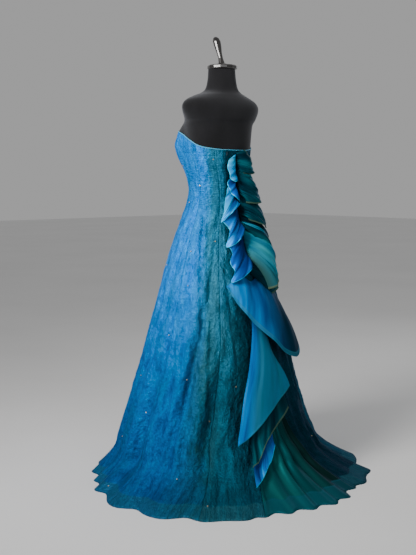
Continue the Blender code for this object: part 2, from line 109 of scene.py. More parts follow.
bpy.context.scene.camera = photo_camera()
print("lens in mm:", round(bpy.context.scene.camera.data.lens, 1))

# %% [markdown]
# ## Small helpers for materials
#
# A material is a small tree of nodes. These helpers keep each tree to a few readable lines: one
# adds a node with its settings, and one wires two sockets. Values that are the same all over a
# surface go straight onto the shader's sockets.

# %% Helpers for node trees


def new_material(name, **values):
    made = bpy.data.materials.new(name)
    made.use_nodes = True
    shader = made.node_tree.nodes["Principled BSDF"]
    for socket, value in values.items():
        shader.inputs[socket.replace("_", " ")].default_value = value
    return made, made.node_tree, shader


def add(tree, kind, inputs=(), **settings):
    """A node of this kind, with settings on it and values on its sockets."""
    made = tree.nodes.new(kind)
    for key, value in settings.items():
        setattr(made, key, value)
    for socket, value in dict(inputs).items():
        made.inputs[socket].default_value = value
    return made


def ramp(tree, source, stops):
    """Colours along a value, a stop for each place."""
    made = add(tree, "ShaderNodeValToRGB")
    while len(made.color_ramp.elements) < len(stops):
        made.color_ramp.elements.new(0.5)
    for element, (place, colour) in zip(made.color_ramp.elements, stops):
        element.position = place
        element.color = (*colour, 1)
    tree.links.new(source, made.inputs["Fac"])
    return made.outputs["Color"]


def mixed(tree, share, first, second, blend="MIX"):
    """Two colours mixed by a share, each a colour or a socket."""
    made = add(tree, "ShaderNodeMix", data_type="RGBA", blend_type=blend)
    for socket, value in (("Factor", share), ("A", first), ("B", second)):
        found = [s for s in made.inputs if s.name == socket and s.enabled][0]
        if isinstance(value, bpy.types.NodeSocket):
            tree.links.new(value, found)
        else:
            found.default_value = value if socket == "Factor" else (*value, 1)
    return [s for s in made.outputs if s.enabled][0]


def maths(tree, operation, first, second=0.0, clamp=False):
    made = add(tree, "ShaderNodeMath", operation=operation, use_clamp=clamp)
    for socket, value in zip(made.inputs, (first, second)):
        if isinstance(value, bpy.types.NodeSocket):
            tree.links.new(value, socket)
        else:
            socket.default_value = value
    return made.outputs["Value"]


def share_between(tree, value, start, end, most):
    """How far a value has gone from a start to an end, as a share of the most allowed."""
    run = maths(tree, "DIVIDE", maths(tree, "SUBTRACT", value, start), end - start, clamp=True)
    return maths(tree, "MULTIPLY", run, most)


def bumped(tree, shader, height, distance, strength=1.0):
    bump = add(tree, "ShaderNodeBump", {"Distance": distance, "Strength": strength})
    tree.links.new(height, bump.inputs["Height"])
    tree.links.new(bump.outputs["Normal"], shader.inputs["Normal"])


# %% [markdown]
# ## Noise and plain finishes
#
# Nothing real has one even colour, so every finish here follows some noise. On cloth the noise
# reads its place from the UV map, and in solid things from their own metres. Small things need
# only one noise for their colour, gloss and relief, so one helper makes all their finishes.

# %% Helpers for noise and finishes


def laid_on(tree, texture, scale, kind="UV", offset=0.0):
    """Gives a texture the cloth's own measures, stretched by a scale for each way."""
    where = add(tree, "ShaderNodeTexCoord")
    turn = add(tree, "ShaderNodeMapping", {"Scale": scale, "Location": (offset, offset, 0)})
    tree.links.new(where.outputs[kind], turn.inputs["Vector"])
    tree.links.new(turn.outputs["Vector"], texture.inputs["Vector"])


def stretched_noise(tree, scale, detail=3, rough=0.55, kind="UV", offset=0.0):
    """Noise over the cloth's own measures, scale being how often it changes in a metre each way."""
    noise = add(tree, "ShaderNodeTexNoise", {"Scale": 1.0, "Detail": detail, "Roughness": rough})
    laid_on(tree, noise, scale, kind, offset)
    return noise.outputs["Fac"]


def painted(tree, shader, source, *stops, socket="Base Color"):
    """Colours along a value, laid straight onto one of the shader's sockets."""
    tree.links.new(ramp(tree, source, stops), shader.inputs[socket])


def even_noise(tree, scale, detail):
    """Noise that is the same all through a solid thing, in its own metres."""
    scale = scale if isinstance(scale, tuple) else (scale, scale, scale)
    return stretched_noise(tree, scale, detail, kind="Object")


def grey(value):
    return (value, value, value)


def plain_finish(name, noise, colours, gloss=(), relief=None, **values):
    """A small thing's material: its colour, and its gloss and relief if given, follow one noise."""
    made, tree, shader = new_material(name, **values)
    source = even_noise(tree, *noise)
    painted(tree, shader, source, *colours)
    if gloss:
        tones = [(place, grey(tone)) for place, tone in gloss]
        painted(tree, shader, source, *tones, socket="Roughness")
    if relief:
        bumped(tree, shader, source, *relief)
    return made


def cloth_measure(tree, axis):
    """The cloth's own measure in metres, across it (X) or up it (Y), from its UV map."""
    where = add(tree, "ShaderNodeTexCoord")
    split = add(tree, "ShaderNodeSeparateXYZ")
    tree.links.new(where.outputs["UV"], split.inputs["Vector"])
    return split.outputs[axis]


# %% [markdown]
# ## Crinkled shot taffeta
#
# Shot taffeta is woven with a warp of one colour and a weft of another, here azure and teal, so
# it turns from clear azure at the front and sides to a greyed teal towards the back. That turn is
# partly the cloth's own colour and partly painted shade, and the deep navy at the back, behind the
# ruffles, is painted shade. It was crushed before it was cut, which left streaks down the grain and
# a net of fine crinkles all over; its crease lines are painted darker as shade, with a little
# painted highlight between them. The colour is also painted darker towards the bottom, as shade.
# The turn of colour follows a value kept on each point of the cloth. Streaks and crinkles come
# from noise on the UV map, which holds real metres, so that the grain keeps one scale throughout.

# %% Colours of the taffeta
TaffetaLook = namedtuple("TaffetaLook", "deep middle bright grey")
AZURE = TaffetaLook(
    (0.000, 0.105, 0.430), (0.000, 0.235, 0.800), (0.000, 0.370, 1.000), (0.000, 0.180, 0.450)
)
TEAL = TaffetaLook(
    (0.010, 0.095, 0.160), (0.022, 0.185, 0.310), (0.016, 0.290, 0.500), (0.050, 0.175, 0.220)
)
# Painted shade in the depth of the back, behind the ruffles; the teal is partly painted shade too.
PAINTED_BACK_SHADE = (0.003, 0.042, 0.066)  # in the depth of the back, behind the ruffles
MIDDLE_OF_PAINTED_SHADE = -14  # the angle that the colours are even about
PAINTED_SHADE_TURN = (34, 41)  # degrees from there where the dark ends and the teal starts
COLOUR_TURN = (61, 80)  # and where the teal ends and the azure starts
STREAK_SHIFT = 0.10  # how far the streaks move those two turns, as a share of half way round
HEM_BAND = 0.030  # the sheer turned hem
PULLED = (1.115, 0.085)  # middle and spread of the heights where the cloth is pulled level
HEM_TINT = (0.026, 0.105, 0.135)

# %% Creases and facets in the taffeta
CREASE_NETS = (((52, 48), 3.1), ((96, 90), 8.7))  # a scale and a seed each
LEVEL_CREASES = ((24, 105), 5.3)  # where the cloth is pulled
FACETS = (58, 40)


def creases(tree, scale, seed):
    """Sharp-edged creases: the places where a smooth noise crosses its middle value."""
    noise = stretched_noise(tree, (*scale, 1), 3, 0.6, offset=seed)
    away = maths(tree, "ABSOLUTE", maths(tree, "SUBTRACT", noise, 0.5))
    return maths(tree, "MULTIPLY", away, 3.0, clamp=True)


def facets(tree, scale):
    """Flat facets with sharp ridges between them, as in crushed cloth, from uneven cells."""
    cells = add(tree, "ShaderNodeTexVoronoi", {"Scale": 1.0, "Randomness": 1.0}, voronoi_dimensions="2D")
    laid_on(tree, cells, (*scale, 1))
    return cells.outputs["Distance"]


def crushed_net(tree, height):
    """The net of creases, which run level where the cloth is pulled at the waist."""
    net = maths(tree, "ADD", *(creases(tree, *one) for one in CREASE_NETS))
    from_waist = maths(tree, "ABSOLUTE", maths(tree, "SUBTRACT", height, PULLED[0]))
    pulled = share_between(tree, from_waist, 1.6 * PULLED[1], 0.8 * PULLED[1], 0.85)
    level = maths(tree, "MULTIPLY", creases(tree, *LEVEL_CREASES), 1.7)
    net = maths(tree, "MULTIPLY", net, maths(tree, "SUBTRACT", 1.0, pulled))
    return maths(tree, "ADD", net, maths(tree, "MULTIPLY", level, pulled))


# %% The taffeta material


def shot_colour(tree, streaks, clouds):
    """The colour that turns from painted shade through teal to azure, by how far round a point is; teal
    to azure is partly the shot cloth's colour and partly painted shade.
    """
    patchy = ramp(tree, clouds, [(0.44, grey(0)), (0.68, grey(0.6))])
    tones = []
    for look in (TEAL, AZURE):
        tone = ramp(tree, streaks, [(0.30, look.deep), (0.5, look.middle), (0.72, look.bright)])
        tones.append(mixed(tree, patchy, tone, look.grey))
    kept = add(tree, "ShaderNodeAttribute", attribute_name="aspect")
    edges = maths(tree, "ADD", kept.outputs["Fac"], maths(tree, "MULTIPLY", streaks, STREAK_SHIFT))
    low, high = (turn / 180 + STREAK_SHIFT / 2 for turn in COLOUR_TURN)
    colour = mixed(tree, share_between(tree, edges, low, high, 1.0), *tones)
    # Painted shade: towards the back the colour turns to the near black navy, and teal to azure is partly
    # painted shade.
    low, high = (turn / 180 + STREAK_SHIFT / 2 for turn in PAINTED_SHADE_TURN)
    lit = share_between(tree, edges, low, high, 0.9)
    return mixed(tree, maths(tree, "ADD", lit, 0.1), PAINTED_BACK_SHADE, colour)


def taffeta():
    made, tree, shader = new_material(
        "shot taffeta", Roughness=0.46, Specular_IOR_Level=0.03, Metallic=0.35
    )
    shader.inputs["Specular Tint"].default_value = (0.02, 0.55, 1, 1)
    streaks = stretched_noise(tree, (38, 14, 1), 5, 0.65)
    clouds = stretched_noise(tree, (9, 3, 1), 3)
    threads = stretched_noise(tree, (420, 38, 1), 2)
    colour = shot_colour(tree, streaks, clouds)
    worn = ramp(tree, threads, [(0.3, grey(0.84)), (0.7, grey(1.06))])
    colour = mixed(tree, 1.0, colour, worn, "MULTIPLY")
    height = cloth_measure(tree, "Y")
    # Painted shade: the colour darkens towards the bottom of the gown, where less light falls.
    painted_low_shade = ramp(tree, height, [(0.05, (0.36, 0.36, 0.34)), (0.40, (0.58, 0.58, 0.55)), (0.76, grey(1))])
    colour = mixed(tree, 1.0, colour, painted_low_shade, "MULTIPLY")
    band = maths(tree, "MULTIPLY", maths(tree, "SUBTRACT", HEM_BAND, height), 900, clamp=True)
    colour = mixed(tree, maths(tree, "MULTIPLY", band, 0.5), colour, HEM_TINT)
    crushed = crushed_net(tree, height)
    # Painted shade along the crease lines, and a little painted highlight on the cloth between them.
    crease_shade_tints = [(0.04, (0.66, 0.68, 0.72)), (0.40, grey(1)), (1.0, (1.10, 1.08, 1.04))]
    painted_fold_shading = ramp(tree, crushed, crease_shade_tints)
    colour = mixed(tree, 1.0, colour, painted_fold_shading, "MULTIPLY")
    tree.links.new(colour, shader.inputs["Base Color"])
    weave = maths(tree, "MULTIPLY", threads, 0.10)
    rough = maths(tree, "ADD", crushed, maths(tree, "MULTIPLY", facets(tree, FACETS), 1.3))
    bumped(tree, shader, maths(tree, "ADD", rough, weave), 0.0026)
    return made


TAFFETA = taffeta()
print("the taffeta's nodes:", len(TAFFETA.node_tree.nodes))

# %% [markdown]
# ## Smooth organza
#
# The ruffles are smooth and crisp. Each takes one of a few looks, from light blue to bottle green,
# and has a rolled edge that has gone pale; the darkest looks, the green and the godet's, are partly
# the cloth's colour and partly painted shade. Along stripes down the cloth its colour runs from deep
# to bright, which is painted shade and highlight of folds. It is clear near its free edge and darker
# above, which is painted shade towards its seam. The UV map of a ruffle holds metres along its hem
# and metres up from its free edge, so the pale edge is simply a low second coordinate. A value kept
# on each point says what share of the way along the piece it is, and past a certain share the look
# turns to its far colour, a darker tone that is painted shade.

# %% The organza materials
# Above this height from the free edge the ruffles darken with painted shade.
HEM_CLEAR = 0.012  # up to here a ruffle keeps its clear colour
LINE_REACH = 0.0024  # of the pale lines along an edge and along the top of its hem
EDGE_LINE = 0.0008  # how far up the rolled edge lies
# Band is the width of the hem and run the metres above it over which the painted shade deepens. Turn
# says where along the piece the far colour, which is painted shade, starts and is full, and how
# strong it is at most.
OrganzaLook = namedtuple("OrganzaLook", "name deep middle bright edge band run far turn")
ORGANZA_LOOKS = {
    "light": OrganzaLook(
        "light blue organza", (0.000, 0.040, 0.200), (0.002, 0.320, 0.760), (0.020, 0.600, 0.980),
        (0.020, 0.500, 0.760), 0.003, 0.062, (0.000, 0.070, 0.300), (0.62, 1.0, 0.8),
    ),
    "blue": OrganzaLook(
        "blue organza", (0.000, 0.022, 0.130), (0.000, 0.170, 0.600), (0.002, 0.440, 0.950),
        (0.016, 0.430, 0.640), 0.003, 0.050, (0.000, 0.040, 0.220), (0.50, 1.0, 0.85),
    ),
    "deep": OrganzaLook(
        "deep blue organza", (0.000, 0.016, 0.110), (0.000, 0.100, 0.450), (0.000, 0.340, 0.900),
        (0.014, 0.360, 0.620), 0.003, 0.055, (0.000, 0.030, 0.180), (0.40, 1.0, 0.8),
    ),
    "hemmed": OrganzaLook(
        "blue organza with a deep hem", (0.000, 0.060, 0.240), (0.000, 0.170, 0.500),
        (0.002, 0.360, 0.860), (0.040, 0.200, 0.280), 0.017, 0.600, (0.000, 0.014, 0.022),
        (0.38, 0.68, 0.96),
    ),
    # The green look is partly the cloth's own green and partly painted shade.
    "green": OrganzaLook(
        "green organza", (0.000, 0.012, 0.022), (0.000, 0.050, 0.070), (0.010, 0.170, 0.210),
        (0.070, 0.120, 0.070), 0.006, 0.080, (0.000, 0.016, 0.022), (0.60, 1.0, 0.6),
    ),
    "lobe": OrganzaLook(
        "cyan organza with an olive edge", (0.000, 0.060, 0.110), (0.010, 0.210, 0.320),
        (0.040, 0.430, 0.500), (0.170, 0.210, 0.090), 0.007, 0.260, (0.040, 0.080, 0.040),
        (0.60, 1.0, 0.75),
    ),
    "grey": OrganzaLook(
        "grey-blue organza", (0.000, 0.060, 0.240), (0.000, 0.200, 0.620), (0.001, 0.330, 0.860),
        (0.030, 0.150, 0.200), 0.003, 0.900, (0.018, 0.150, 0.200), (0.14, 0.34, 0.82),
    ),
    # The godet look is partly the cloth's own teal and partly painted shade.
    "godet": OrganzaLook(
        "godet organza", (0.000, 0.040, 0.046), (0.000, 0.066, 0.072), (0.001, 0.110, 0.110),
        (0.012, 0.080, 0.115), 0.030, 2.000, (0.004, 0.012, 0.010), (0.55, 0.88, 0.9),
    ),
}


def organza(look):
    made, tree, shader = new_material(
        look.name, Roughness=0.40, Specular_IOR_Level=0.05, Metallic=0.30
    )
    shader.inputs["Specular Tint"].default_value = (0.10, 0.65, 1, 1)
    # Painted shade and highlight of folds: the colour runs from deep to bright along stripes down the
    # cloth.
    painted_fold_shading = stretched_noise(tree, (16, 3, 1), 2)
    colour = ramp(tree, painted_fold_shading, [(0.32, look.deep), (0.5, look.middle), (0.70, look.bright)])
    threads = stretched_noise(tree, (900, 900, 1), 1)
    worn = ramp(tree, threads, [(0.3, grey(0.86)), (0.7, grey(1.08))])
    colour = mixed(tree, 1.0, colour, worn, "MULTIPLY")
    up = cloth_measure(tree, "Y")
    # Painted shade: the colour darkens up from the clear free edge towards the seam.
    deeper = share_between(tree, up, HEM_CLEAR, look.run + HEM_CLEAR, 0.85)
    colour = mixed(tree, deeper, colour, look.deep)
    # Painted shade: past a share of the way along the piece the colour turns to its darker far colour.
    kept = add(tree, "ShaderNodeAttribute", attribute_name="aspect")
    colour = mixed(tree, share_between(tree, kept.outputs["Fac"], *look.turn), colour, look.far)
    edge = maths(tree, "MULTIPLY", maths(tree, "SUBTRACT", look.band, up), 1500, clamp=True)
    colour = mixed(tree, maths(tree, "MULTIPLY", edge, 0.45), colour, look.edge)
    for line in (EDGE_LINE, look.band):
        off = maths(tree, "ABSOLUTE", maths(tree, "SUBTRACT", up, line))
        near = maths(tree, "SUBTRACT", 1.0, maths(tree, "MULTIPLY", off, 1 / LINE_REACH), clamp=True)
        colour = mixed(tree, maths(tree, "MULTIPLY", near, 0.7), colour, look.edge)
    tree.links.new(colour, shader.inputs["Base Color"])
    bumped(tree, shader, threads, 0.0003, 0.5)
    return made


ORGANZAS = {key: organza(look) for key, look in ORGANZA_LOOKS.items()}
print("organzas:", ", ".join(look.name for look in ORGANZA_LOOKS.values()))

# %% [markdown]
# ## The gown's shape
#
# A gown is level sections that change smoothly with height: an oval, two bust cups, and a hem
# that spreads on the floor. The table holds the same sizes that the gown was cut to. Heights in
# between are read from a smooth line through its rows, for a whole grid of points at a time.

# %% Level sections of the gown
Section = namedtuple("Section", "height half_width front back cup")
SECTIONS = [Section(*row) for row in (
    (0.000, 0.440, 0.420, 0.420, 0.000), (0.120, 0.408, 0.392, 0.372, 0.000),
    (0.190, 0.388, 0.374, 0.318, 0.000), (0.270, 0.364, 0.350, 0.288, 0.000),
    (0.360, 0.338, 0.327, 0.262, 0.000), (0.460, 0.311, 0.302, 0.246, 0.000),
    (0.560, 0.285, 0.276, 0.224, 0.000), (0.660, 0.257, 0.249, 0.198, 0.000),
    (0.760, 0.230, 0.222, 0.172, 0.000), (0.860, 0.201, 0.193, 0.146, 0.000),
    (0.930, 0.178, 0.172, 0.126, 0.000), (1.000, 0.153, 0.149, 0.106, 0.000),
    (1.050, 0.134, 0.132, 0.093, 0.000), (1.100, 0.123, 0.122, 0.085, 0.000),
    (1.137, 0.124, 0.121, 0.084, 0.005), (1.180, 0.130, 0.121, 0.084, 0.017),
    (1.230, 0.139, 0.124, 0.086, 0.036), (1.276, 0.145, 0.128, 0.089, 0.045),
    (1.300, 0.145, 0.127, 0.089, 0.041), (1.340, 0.143, 0.126, 0.088, 0.030),
)]
WIDTHS = [(row.height, row.half_width) for row in SECTIONS]
CUP_ANGLE = 147.0
CUP_SPREAD = 21.0
# How far the hem reaches from the pole, by the angle from the centre back towards the left side
HEM = [
    (-180, 0.500), (-150, 0.497), (-120, 0.512), (-90, 0.560), (-60, 0.580), (-42, 0.586),
    (-28, 0.578), (-20, 0.552), (-8, 0.580), (12, 0.562), (26, 0.560), (40, 0.592), (70, 0.588),
    (90, 0.562), (110, 0.510), (135, 0.495), (160, 0.497), (180, 0.500),
]
# The neckline's height by that angle, the same on both sides
NECKLINE = [
    (0, 1.258), (30, 1.260), (68, 1.272), (98, 1.297), (120, 1.318), (145, 1.335), (165, 1.330),
    (180, 1.323),
]


def smooth_table(rows, at):
    """The table's other columns at these places, on a smooth line through its rows."""
    table = np.array(rows, float)
    at = np.clip(np.asarray(at, float), table[0, 0], table[-1, 0])
    k = np.clip(np.searchsorted(table[:, 0], at, side="left") - 1, 0, len(table) - 2)
    low, high = table[k], table[k + 1]
    before, after = table[np.maximum(k - 1, 0)], table[np.minimum(k + 2, len(table) - 1)]
    span = (high[..., 0] - low[..., 0])[..., None]
    t = ((at - low[..., 0]) / (high[..., 0] - low[..., 0]))[..., None]
    slope_low = (high - before)[..., 1:] / (high - before)[..., :1]
    slope_high = (after - low)[..., 1:] / (after - low)[..., :1]
    value = low[..., 1:] * (1 + 2 * t) * (1 - t) ** 2 + high[..., 1:] * t * t * (3 - 2 * t)
    value = value + slope_low * span * t * (1 - t) ** 2 + slope_high * span * t * t * (t - 1)
    return [value[..., c] for c in range(value.shape[-1])]


def ease(share):
    share = np.clip(share, 0, 1)
    return share * share * (3 - 2 * share)


def wrapped(degrees):
    return (np.asarray(degrees) + 180) % 360 - 180


def level_direction(degrees):
    turn = np.radians(degrees)
    return np.stack([np.sin(turn), np.cos(turn), np.zeros_like(turn)], -1)


def bump(distance, spread):
    return np.exp(-((distance / spread) ** 2))


def neckline_height(degrees):
    return smooth_table(NECKLINE, np.abs(wrapped(degrees)))[0]


# %% [markdown]
# ## Seams and skirt folds
#
# Seams are angles that change with height. The skirt's flare falls into soft flutes, a few of
# them deep, and the godet between the two back seams opens into pleats below the knee.

# %% Seams and folds
SEAM_HEIGHTS = (0.0, KNEE_HEIGHT, HIP_HEIGHT, WAIST_HEIGHT, 1.26)
Seam = namedtuple("Seam", "hem knee hip waist top")
BACK_RIGHT = Seam(-21, -5.5, -10, -14, -14)
BACK_LEFT = Seam(27, 5.5, 10, 14, 14)
PRINCESS_BACK = Seam(50, 37, 35, 33, 40)
SIDE = Seam(87, 82, 80, 77, 80)
PRINCESS_FRONT = Seam(137, 140, 142, 145, 141)
FOLD_COUNT = 22
FOLD_DEPTH = 0.013
FOLD_TOP = 0.98
FOLD_POWER = 1.3
GIVE_WAY = 7  # degrees outside the back seams where the skirt's own folds end
CREST_AWAY, CREST_SHARE = 1.9, 0.45  # of a deep fold's width and depth, for the crest beside it
GODET_PLEATS = 5
GODET_DEPTH = 0.012
# The deepest folds: angle at the hem and at the knee, half width in degrees, depth, top
Fold = namedtuple("Fold", "hem knee spread depth top")
DEEP_FOLDS = [Fold(*row) for row in (
    (54, 36, 4.0, 0.022, 0.62), (74, 58, 3.5, 0.014, 1.02), (97, 88, 4.0, 0.014, 0.70),
    (118, 116, 4.0, 0.012, 0.60), (149, 150, 4.0, 0.012, 0.60), (-52, -40, 4.0, 0.018, 0.60),
    (-76, -66, 4.0, 0.014, 0.95), (-108, -104, 4.0, 0.014, 0.65), (-150, -148, 4.0, 0.012, 0.62),
)]


def seam(row, mirrored=False):
    """The seam's angle as a function of height."""
    rows = list(zip(SEAM_HEIGHTS, row))
    sign = -1 if mirrored else 1
    return lambda height: sign * smooth_table(rows, height)[0]


def fold_growth(height):
    """How far the folds have opened, from 0 at their top to 1 at the hem."""
    return ease((FOLD_TOP - height) / FOLD_TOP) ** FOLD_POWER


def fold_of(degrees, height):
    """How far the skirt stands in or out of its plain section."""
    growth = fold_growth(height)
    turn = np.radians(degrees)
    wander = 1.1 * np.sin(3 * turn + 0.6) + 0.8 * np.sin(5 * turn + 2.0)
    size = 0.72 + 0.28 * np.sin(4 * turn + 0.9)
    right = seam(BACK_RIGHT)(height)
    left = seam(BACK_LEFT)(height)
    inside = ease((degrees - right + GIVE_WAY) / GIVE_WAY) * ease((left - degrees + GIVE_WAY) / GIVE_WAY)
    moved = FOLD_DEPTH * growth * size * np.cos(FOLD_COUNT * turn + wander) * (1 - inside)
    for fold in DEEP_FOLDS:
        centre = fold.hem + (fold.knee - fold.hem) * height / KNEE_HEIGHT
        away = wrapped(degrees - centre)
        depth = fold.depth * ease((fold.top - height) / fold.top * 2)
        moved = moved - depth * bump(away, fold.spread)
        moved = moved + CREST_SHARE * depth * bump(away - CREST_AWAY * fold.spread, fold.spread)
    share = (degrees - right) / (left - right)
    opening = ease((KNEE_HEIGHT - height) / KNEE_HEIGHT)
    return moved + inside * GODET_DEPTH * opening * np.cos(2 * np.pi * GODET_PLEATS * share)


# %% [markdown]
# ## The gown's outside
#
# Every later step asks where the gown's outside is at an angle and a height, and which way it
# faces there. The place is the plain section, swollen by the cups, spread by the hem and moved by
# the folds. The direction comes from two small differences of that place.

# %% Points of the outside


def oval_point(table, degrees, height):
    half_width, front, back, cup = smooth_table(table, height)
    out = level_direction(degrees)
    x = half_width * out[..., 0]
    y = np.where(out[..., 1] > 0, back, front) * out[..., 1]
    swell = cup * bump(np.abs(wrapped(degrees)) - CUP_ANGLE, CUP_SPREAD)
    return np.stack([x, y, height + 0 * x], -1) + out * swell[..., None]


def gown_point(degrees, height, folded=True):
    """Points of the gown's outside."""
    degrees, height = np.broadcast_arrays(np.asarray(degrees, float), np.asarray(height, float))
    point = oval_point(SECTIONS, degrees, height)
    out = level_direction(degrees)
    flare = (np.maximum(0.0, 1 - height / FLARE_HEIGHT) ** FLARE_POWER)[..., None]
    reach = smooth_table(HEM, wrapped(degrees))[0][..., None]
    spread = out * reach
    spread[..., 2] = height
    point = point * (1 - flare) + spread * flare
    return point + out * fold_of(degrees, height)[..., None] if folded else point


def unit(vectors):
    return vectors / np.maximum(np.linalg.norm(vectors, axis=-1, keepdims=True), 1e-12)


def gown_outward(degrees, height, folded=True):
    """The direction square to the gown's outside, from two small differences."""
    degrees, height = np.broadcast_arrays(np.asarray(degrees, float), np.asarray(height, float))
    low = np.maximum(height - STEP, 0.0)
    down = gown_point(degrees, low, folded) - gown_point(degrees, low + 2 * STEP, folded)
    along = gown_point(degrees - TURN, height, folded) - gown_point(degrees + TURN, height, folded)
    return unit(np.cross(down, along))


def between_seams(start, end, height, share):
    """Angles from seam to seam, half a seam's gap in from each, and the width of each row."""
    first, spread = start(height), end(height) - start(height)
    steps = np.diff(gown_point(first + spread * share, height), axis=1)
    width = np.linalg.norm(steps, axis=-1).sum(1)[:, None]
    trim = SEAM_GAP / 2 / width
    return first + spread * (trim + share * (1 - 2 * trim)), width


print("hem width in m:", round(float(2 * gown_point(90.0, 0.0)[0]), 3))

# %% [markdown]
# ## From a grid of points to a piece of cloth
#
# Every cloth piece is a grid: rows run down the cloth and columns across it. One helper turns a
# grid into a mesh with a UV map in metres and gives it its thickness with Solidify. The Solidify
# is applied, so that the mesh is the finished cloth.

# %% Cloth pieces from grids


def soft_noise(across, along, seed):
    """Smooth noise from 0 to 1 that changes once in each unit of both measures."""
    size = 128
    values = np.random.default_rng(seed).random((size, size))
    a, b = np.floor(across).astype(int), np.floor(along).astype(int)
    s, t = across - a, along - b
    s, t = s * s * s * (s * (6 * s - 15) + 10), t * t * t * (t * (6 * t - 15) + 10)
    corner = [[values[(a + i) % size, (b + j) % size] for j in (0, 1)] for i in (0, 1)]
    near = corner[0][0] * (1 - t) + corner[0][1] * t
    far = corner[1][0] * (1 - t) + corner[1][1] * t
    return near * (1 - s) + far * s


def plain_mesh(name, points, faces, finish, smooth=True):
    mesh = bpy.data.meshes.new(name)
    mesh.from_pydata([tuple(p) for p in points], [], [tuple(int(i) for i in f) for f in faces])
    mesh.polygons.foreach_set("use_smooth", [smooth] * len(mesh.polygons))
    mesh.materials.append(finish)
    made = bpy.data.objects.new(name, mesh)
    bpy.context.scene.collection.objects.link(made)
    return made


def faced_outwards(made):
    """The object with all its faces turned to look out of it."""
    mesh = bmesh.new()
    mesh.from_mesh(made.data)
    bmesh.ops.recalc_face_normals(mesh, faces=mesh.faces)
    mesh.to_mesh(made.data)
    mesh.free()
    return made


def applied(made):
    """The object with its modifiers turned into plain mesh."""
    bpy.context.view_layer.update()
    graph = bpy.context.evaluated_depsgraph_get()
    mesh = bpy.data.meshes.new_from_object(made.evaluated_get(graph), depsgraph=graph)
    mesh.name = made.name
    made.modifiers.clear()
    made.data = mesh
    return made


def cloth_grid(name, points, measures, finish, thickness, offset=-1.0, aspect=None):
    """A grid of cloth, its outside seen with the columns running to the right.

    Aspect is kept on each point for its material: on taffeta how far round it is from the middle
    of the painted shade at the back, 1 being opposite, and on organza its share of the way along
    the piece, which leads to painted shade.
    """
    rows, columns = points.shape[:2]
    index = np.arange(rows * columns).reshape(rows, columns)
    corners = (index[:-1, :-1], index[1:, :-1], index[1:, 1:], index[:-1, 1:])
    faces = np.stack(corners, -1).reshape(-1, 4)
    made = plain_mesh(name, points.reshape(-1, 3), faces, finish)
    layer = made.data.uv_layers.new(name="cloth")
    layer.data.foreach_set("uv", measures.reshape(-1, 2)[faces.reshape(-1)].ravel())
    if aspect is not None:
        kept = made.data.attributes.new("aspect", "FLOAT", "POINT")
        kept.data.foreach_set("value", np.ravel(aspect).astype(np.float32))
    thick = made.modifiers.new("thickness", "SOLIDIFY")
    thick.thickness = thickness
    thick.offset = offset
    return applied(made)


# %% [markdown]
# ## Finishing a piece of cloth
#
# A cloth is a sheet that was cut flat. Its flat size is measured on its own grid, along the rows
# and down the columns, so that it stays right whatever the folds are. Each piece rides on the
# root, and the solids that it stands for are hidden.

# %% Flat sizes of a piece


def cut_size(points):
    """The widest row, the longest column and the area of a grid of cloth, in metres."""
    across = np.linalg.norm(np.diff(points, axis=1), axis=-1)
    down = np.linalg.norm(np.diff(points, axis=0), axis=-1)
    sides = (points[1:, :-1] - points[:-1, :-1], points[:-1, 1:] - points[:-1, :-1])
    first = np.linalg.norm(np.cross(*sides), axis=-1).sum() / 2
    sides = (points[1:, :-1] - points[1:, 1:], points[:-1, 1:] - points[1:, 1:])
    second = np.linalg.norm(np.cross(*sides), axis=-1).sum() / 2
    return across.sum(1).max(), down.sum(0).max(), first + second


LEAST_FILLED = 0.35  # of the rectangle that a piece is cut from


def finish_cloth(made, points, held, rests_on, slot, *nodes):
    """Rides a cloth piece on the root, hides the solids that it replaces and prints its flat size."""
    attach(made, "root")
    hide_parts(*nodes)
    width, length, area = cut_size(points)
    width = min(width, area / (LEAST_FILLED * length))  # a curved hem fits in a narrower cut
    area = min(area, width * length)
    print(f"{made.name}: {width:.2f} by {length:.2f} m, {len(made.data.polygons)} faces")


# %% [markdown]
# ## Creases listed one by one
#
# Crushed taffeta has three sizes of relief. Long soft troughs hang from the hip, and each has
# its own row with its angles, length and depth. Short sharp puckers cross them where the cloth
# was folded away. Between them the whole cloth is crinkled: long vertical crinkles on the skirt,
# and tight level ones where the bodice pulls at the waist. None repeats on the other side.

# %% Tables of creases
Trough = namedtuple("Trough", "top_angle top bottom_angle bottom width depth")
TROUGHS = [Trough(*row) for row in (
    (62, 1.04, 49, 0.52, 0.010, 0.0040), (72, 0.92, 66, 0.30, 0.012, 0.0035),
    (84, 0.85, 83, 0.06, 0.014, 0.0035), (93, 0.98, 101, 0.40, 0.011, 0.0030),
    (45, 0.80, 42, 0.20, 0.010, 0.0040), (57, 0.56, 61, 0.04, 0.013, 0.0035),
    (29, 0.84, 22, 0.45, 0.008, 0.0030), (108, 0.76, 110, 0.10, 0.015, 0.0030),
    (124, 0.95, 129, 0.35, 0.012, 0.0030), (141, 0.70, 144, 0.05, 0.014, 0.0030),
    (158, 0.90, 161, 0.25, 0.013, 0.0030), (172, 0.64, 174, 0.08, 0.015, 0.0030),
    (-168, 0.82, -166, 0.18, 0.012, 0.0030), (-153, 0.60, -157, 0.05, 0.014, 0.0030),
    (-134, 0.92, -139, 0.30, 0.012, 0.0030), (-117, 0.74, -119, 0.09, 0.014, 0.0035),
    (-98, 0.90, -103, 0.33, 0.012, 0.0030), (-86, 0.66, -84, 0.04, 0.013, 0.0035),
    (-69, 0.97, -62, 0.42, 0.011, 0.0035), (-54, 0.78, -58, 0.12, 0.013, 0.0035),
    (-38, 0.88, -33, 0.40, 0.009, 0.0030), (-27, 0.60, -44, 0.05, 0.012, 0.0035),
)]
Pucker = namedtuple("Pucker", "angle height reach tilt depth")
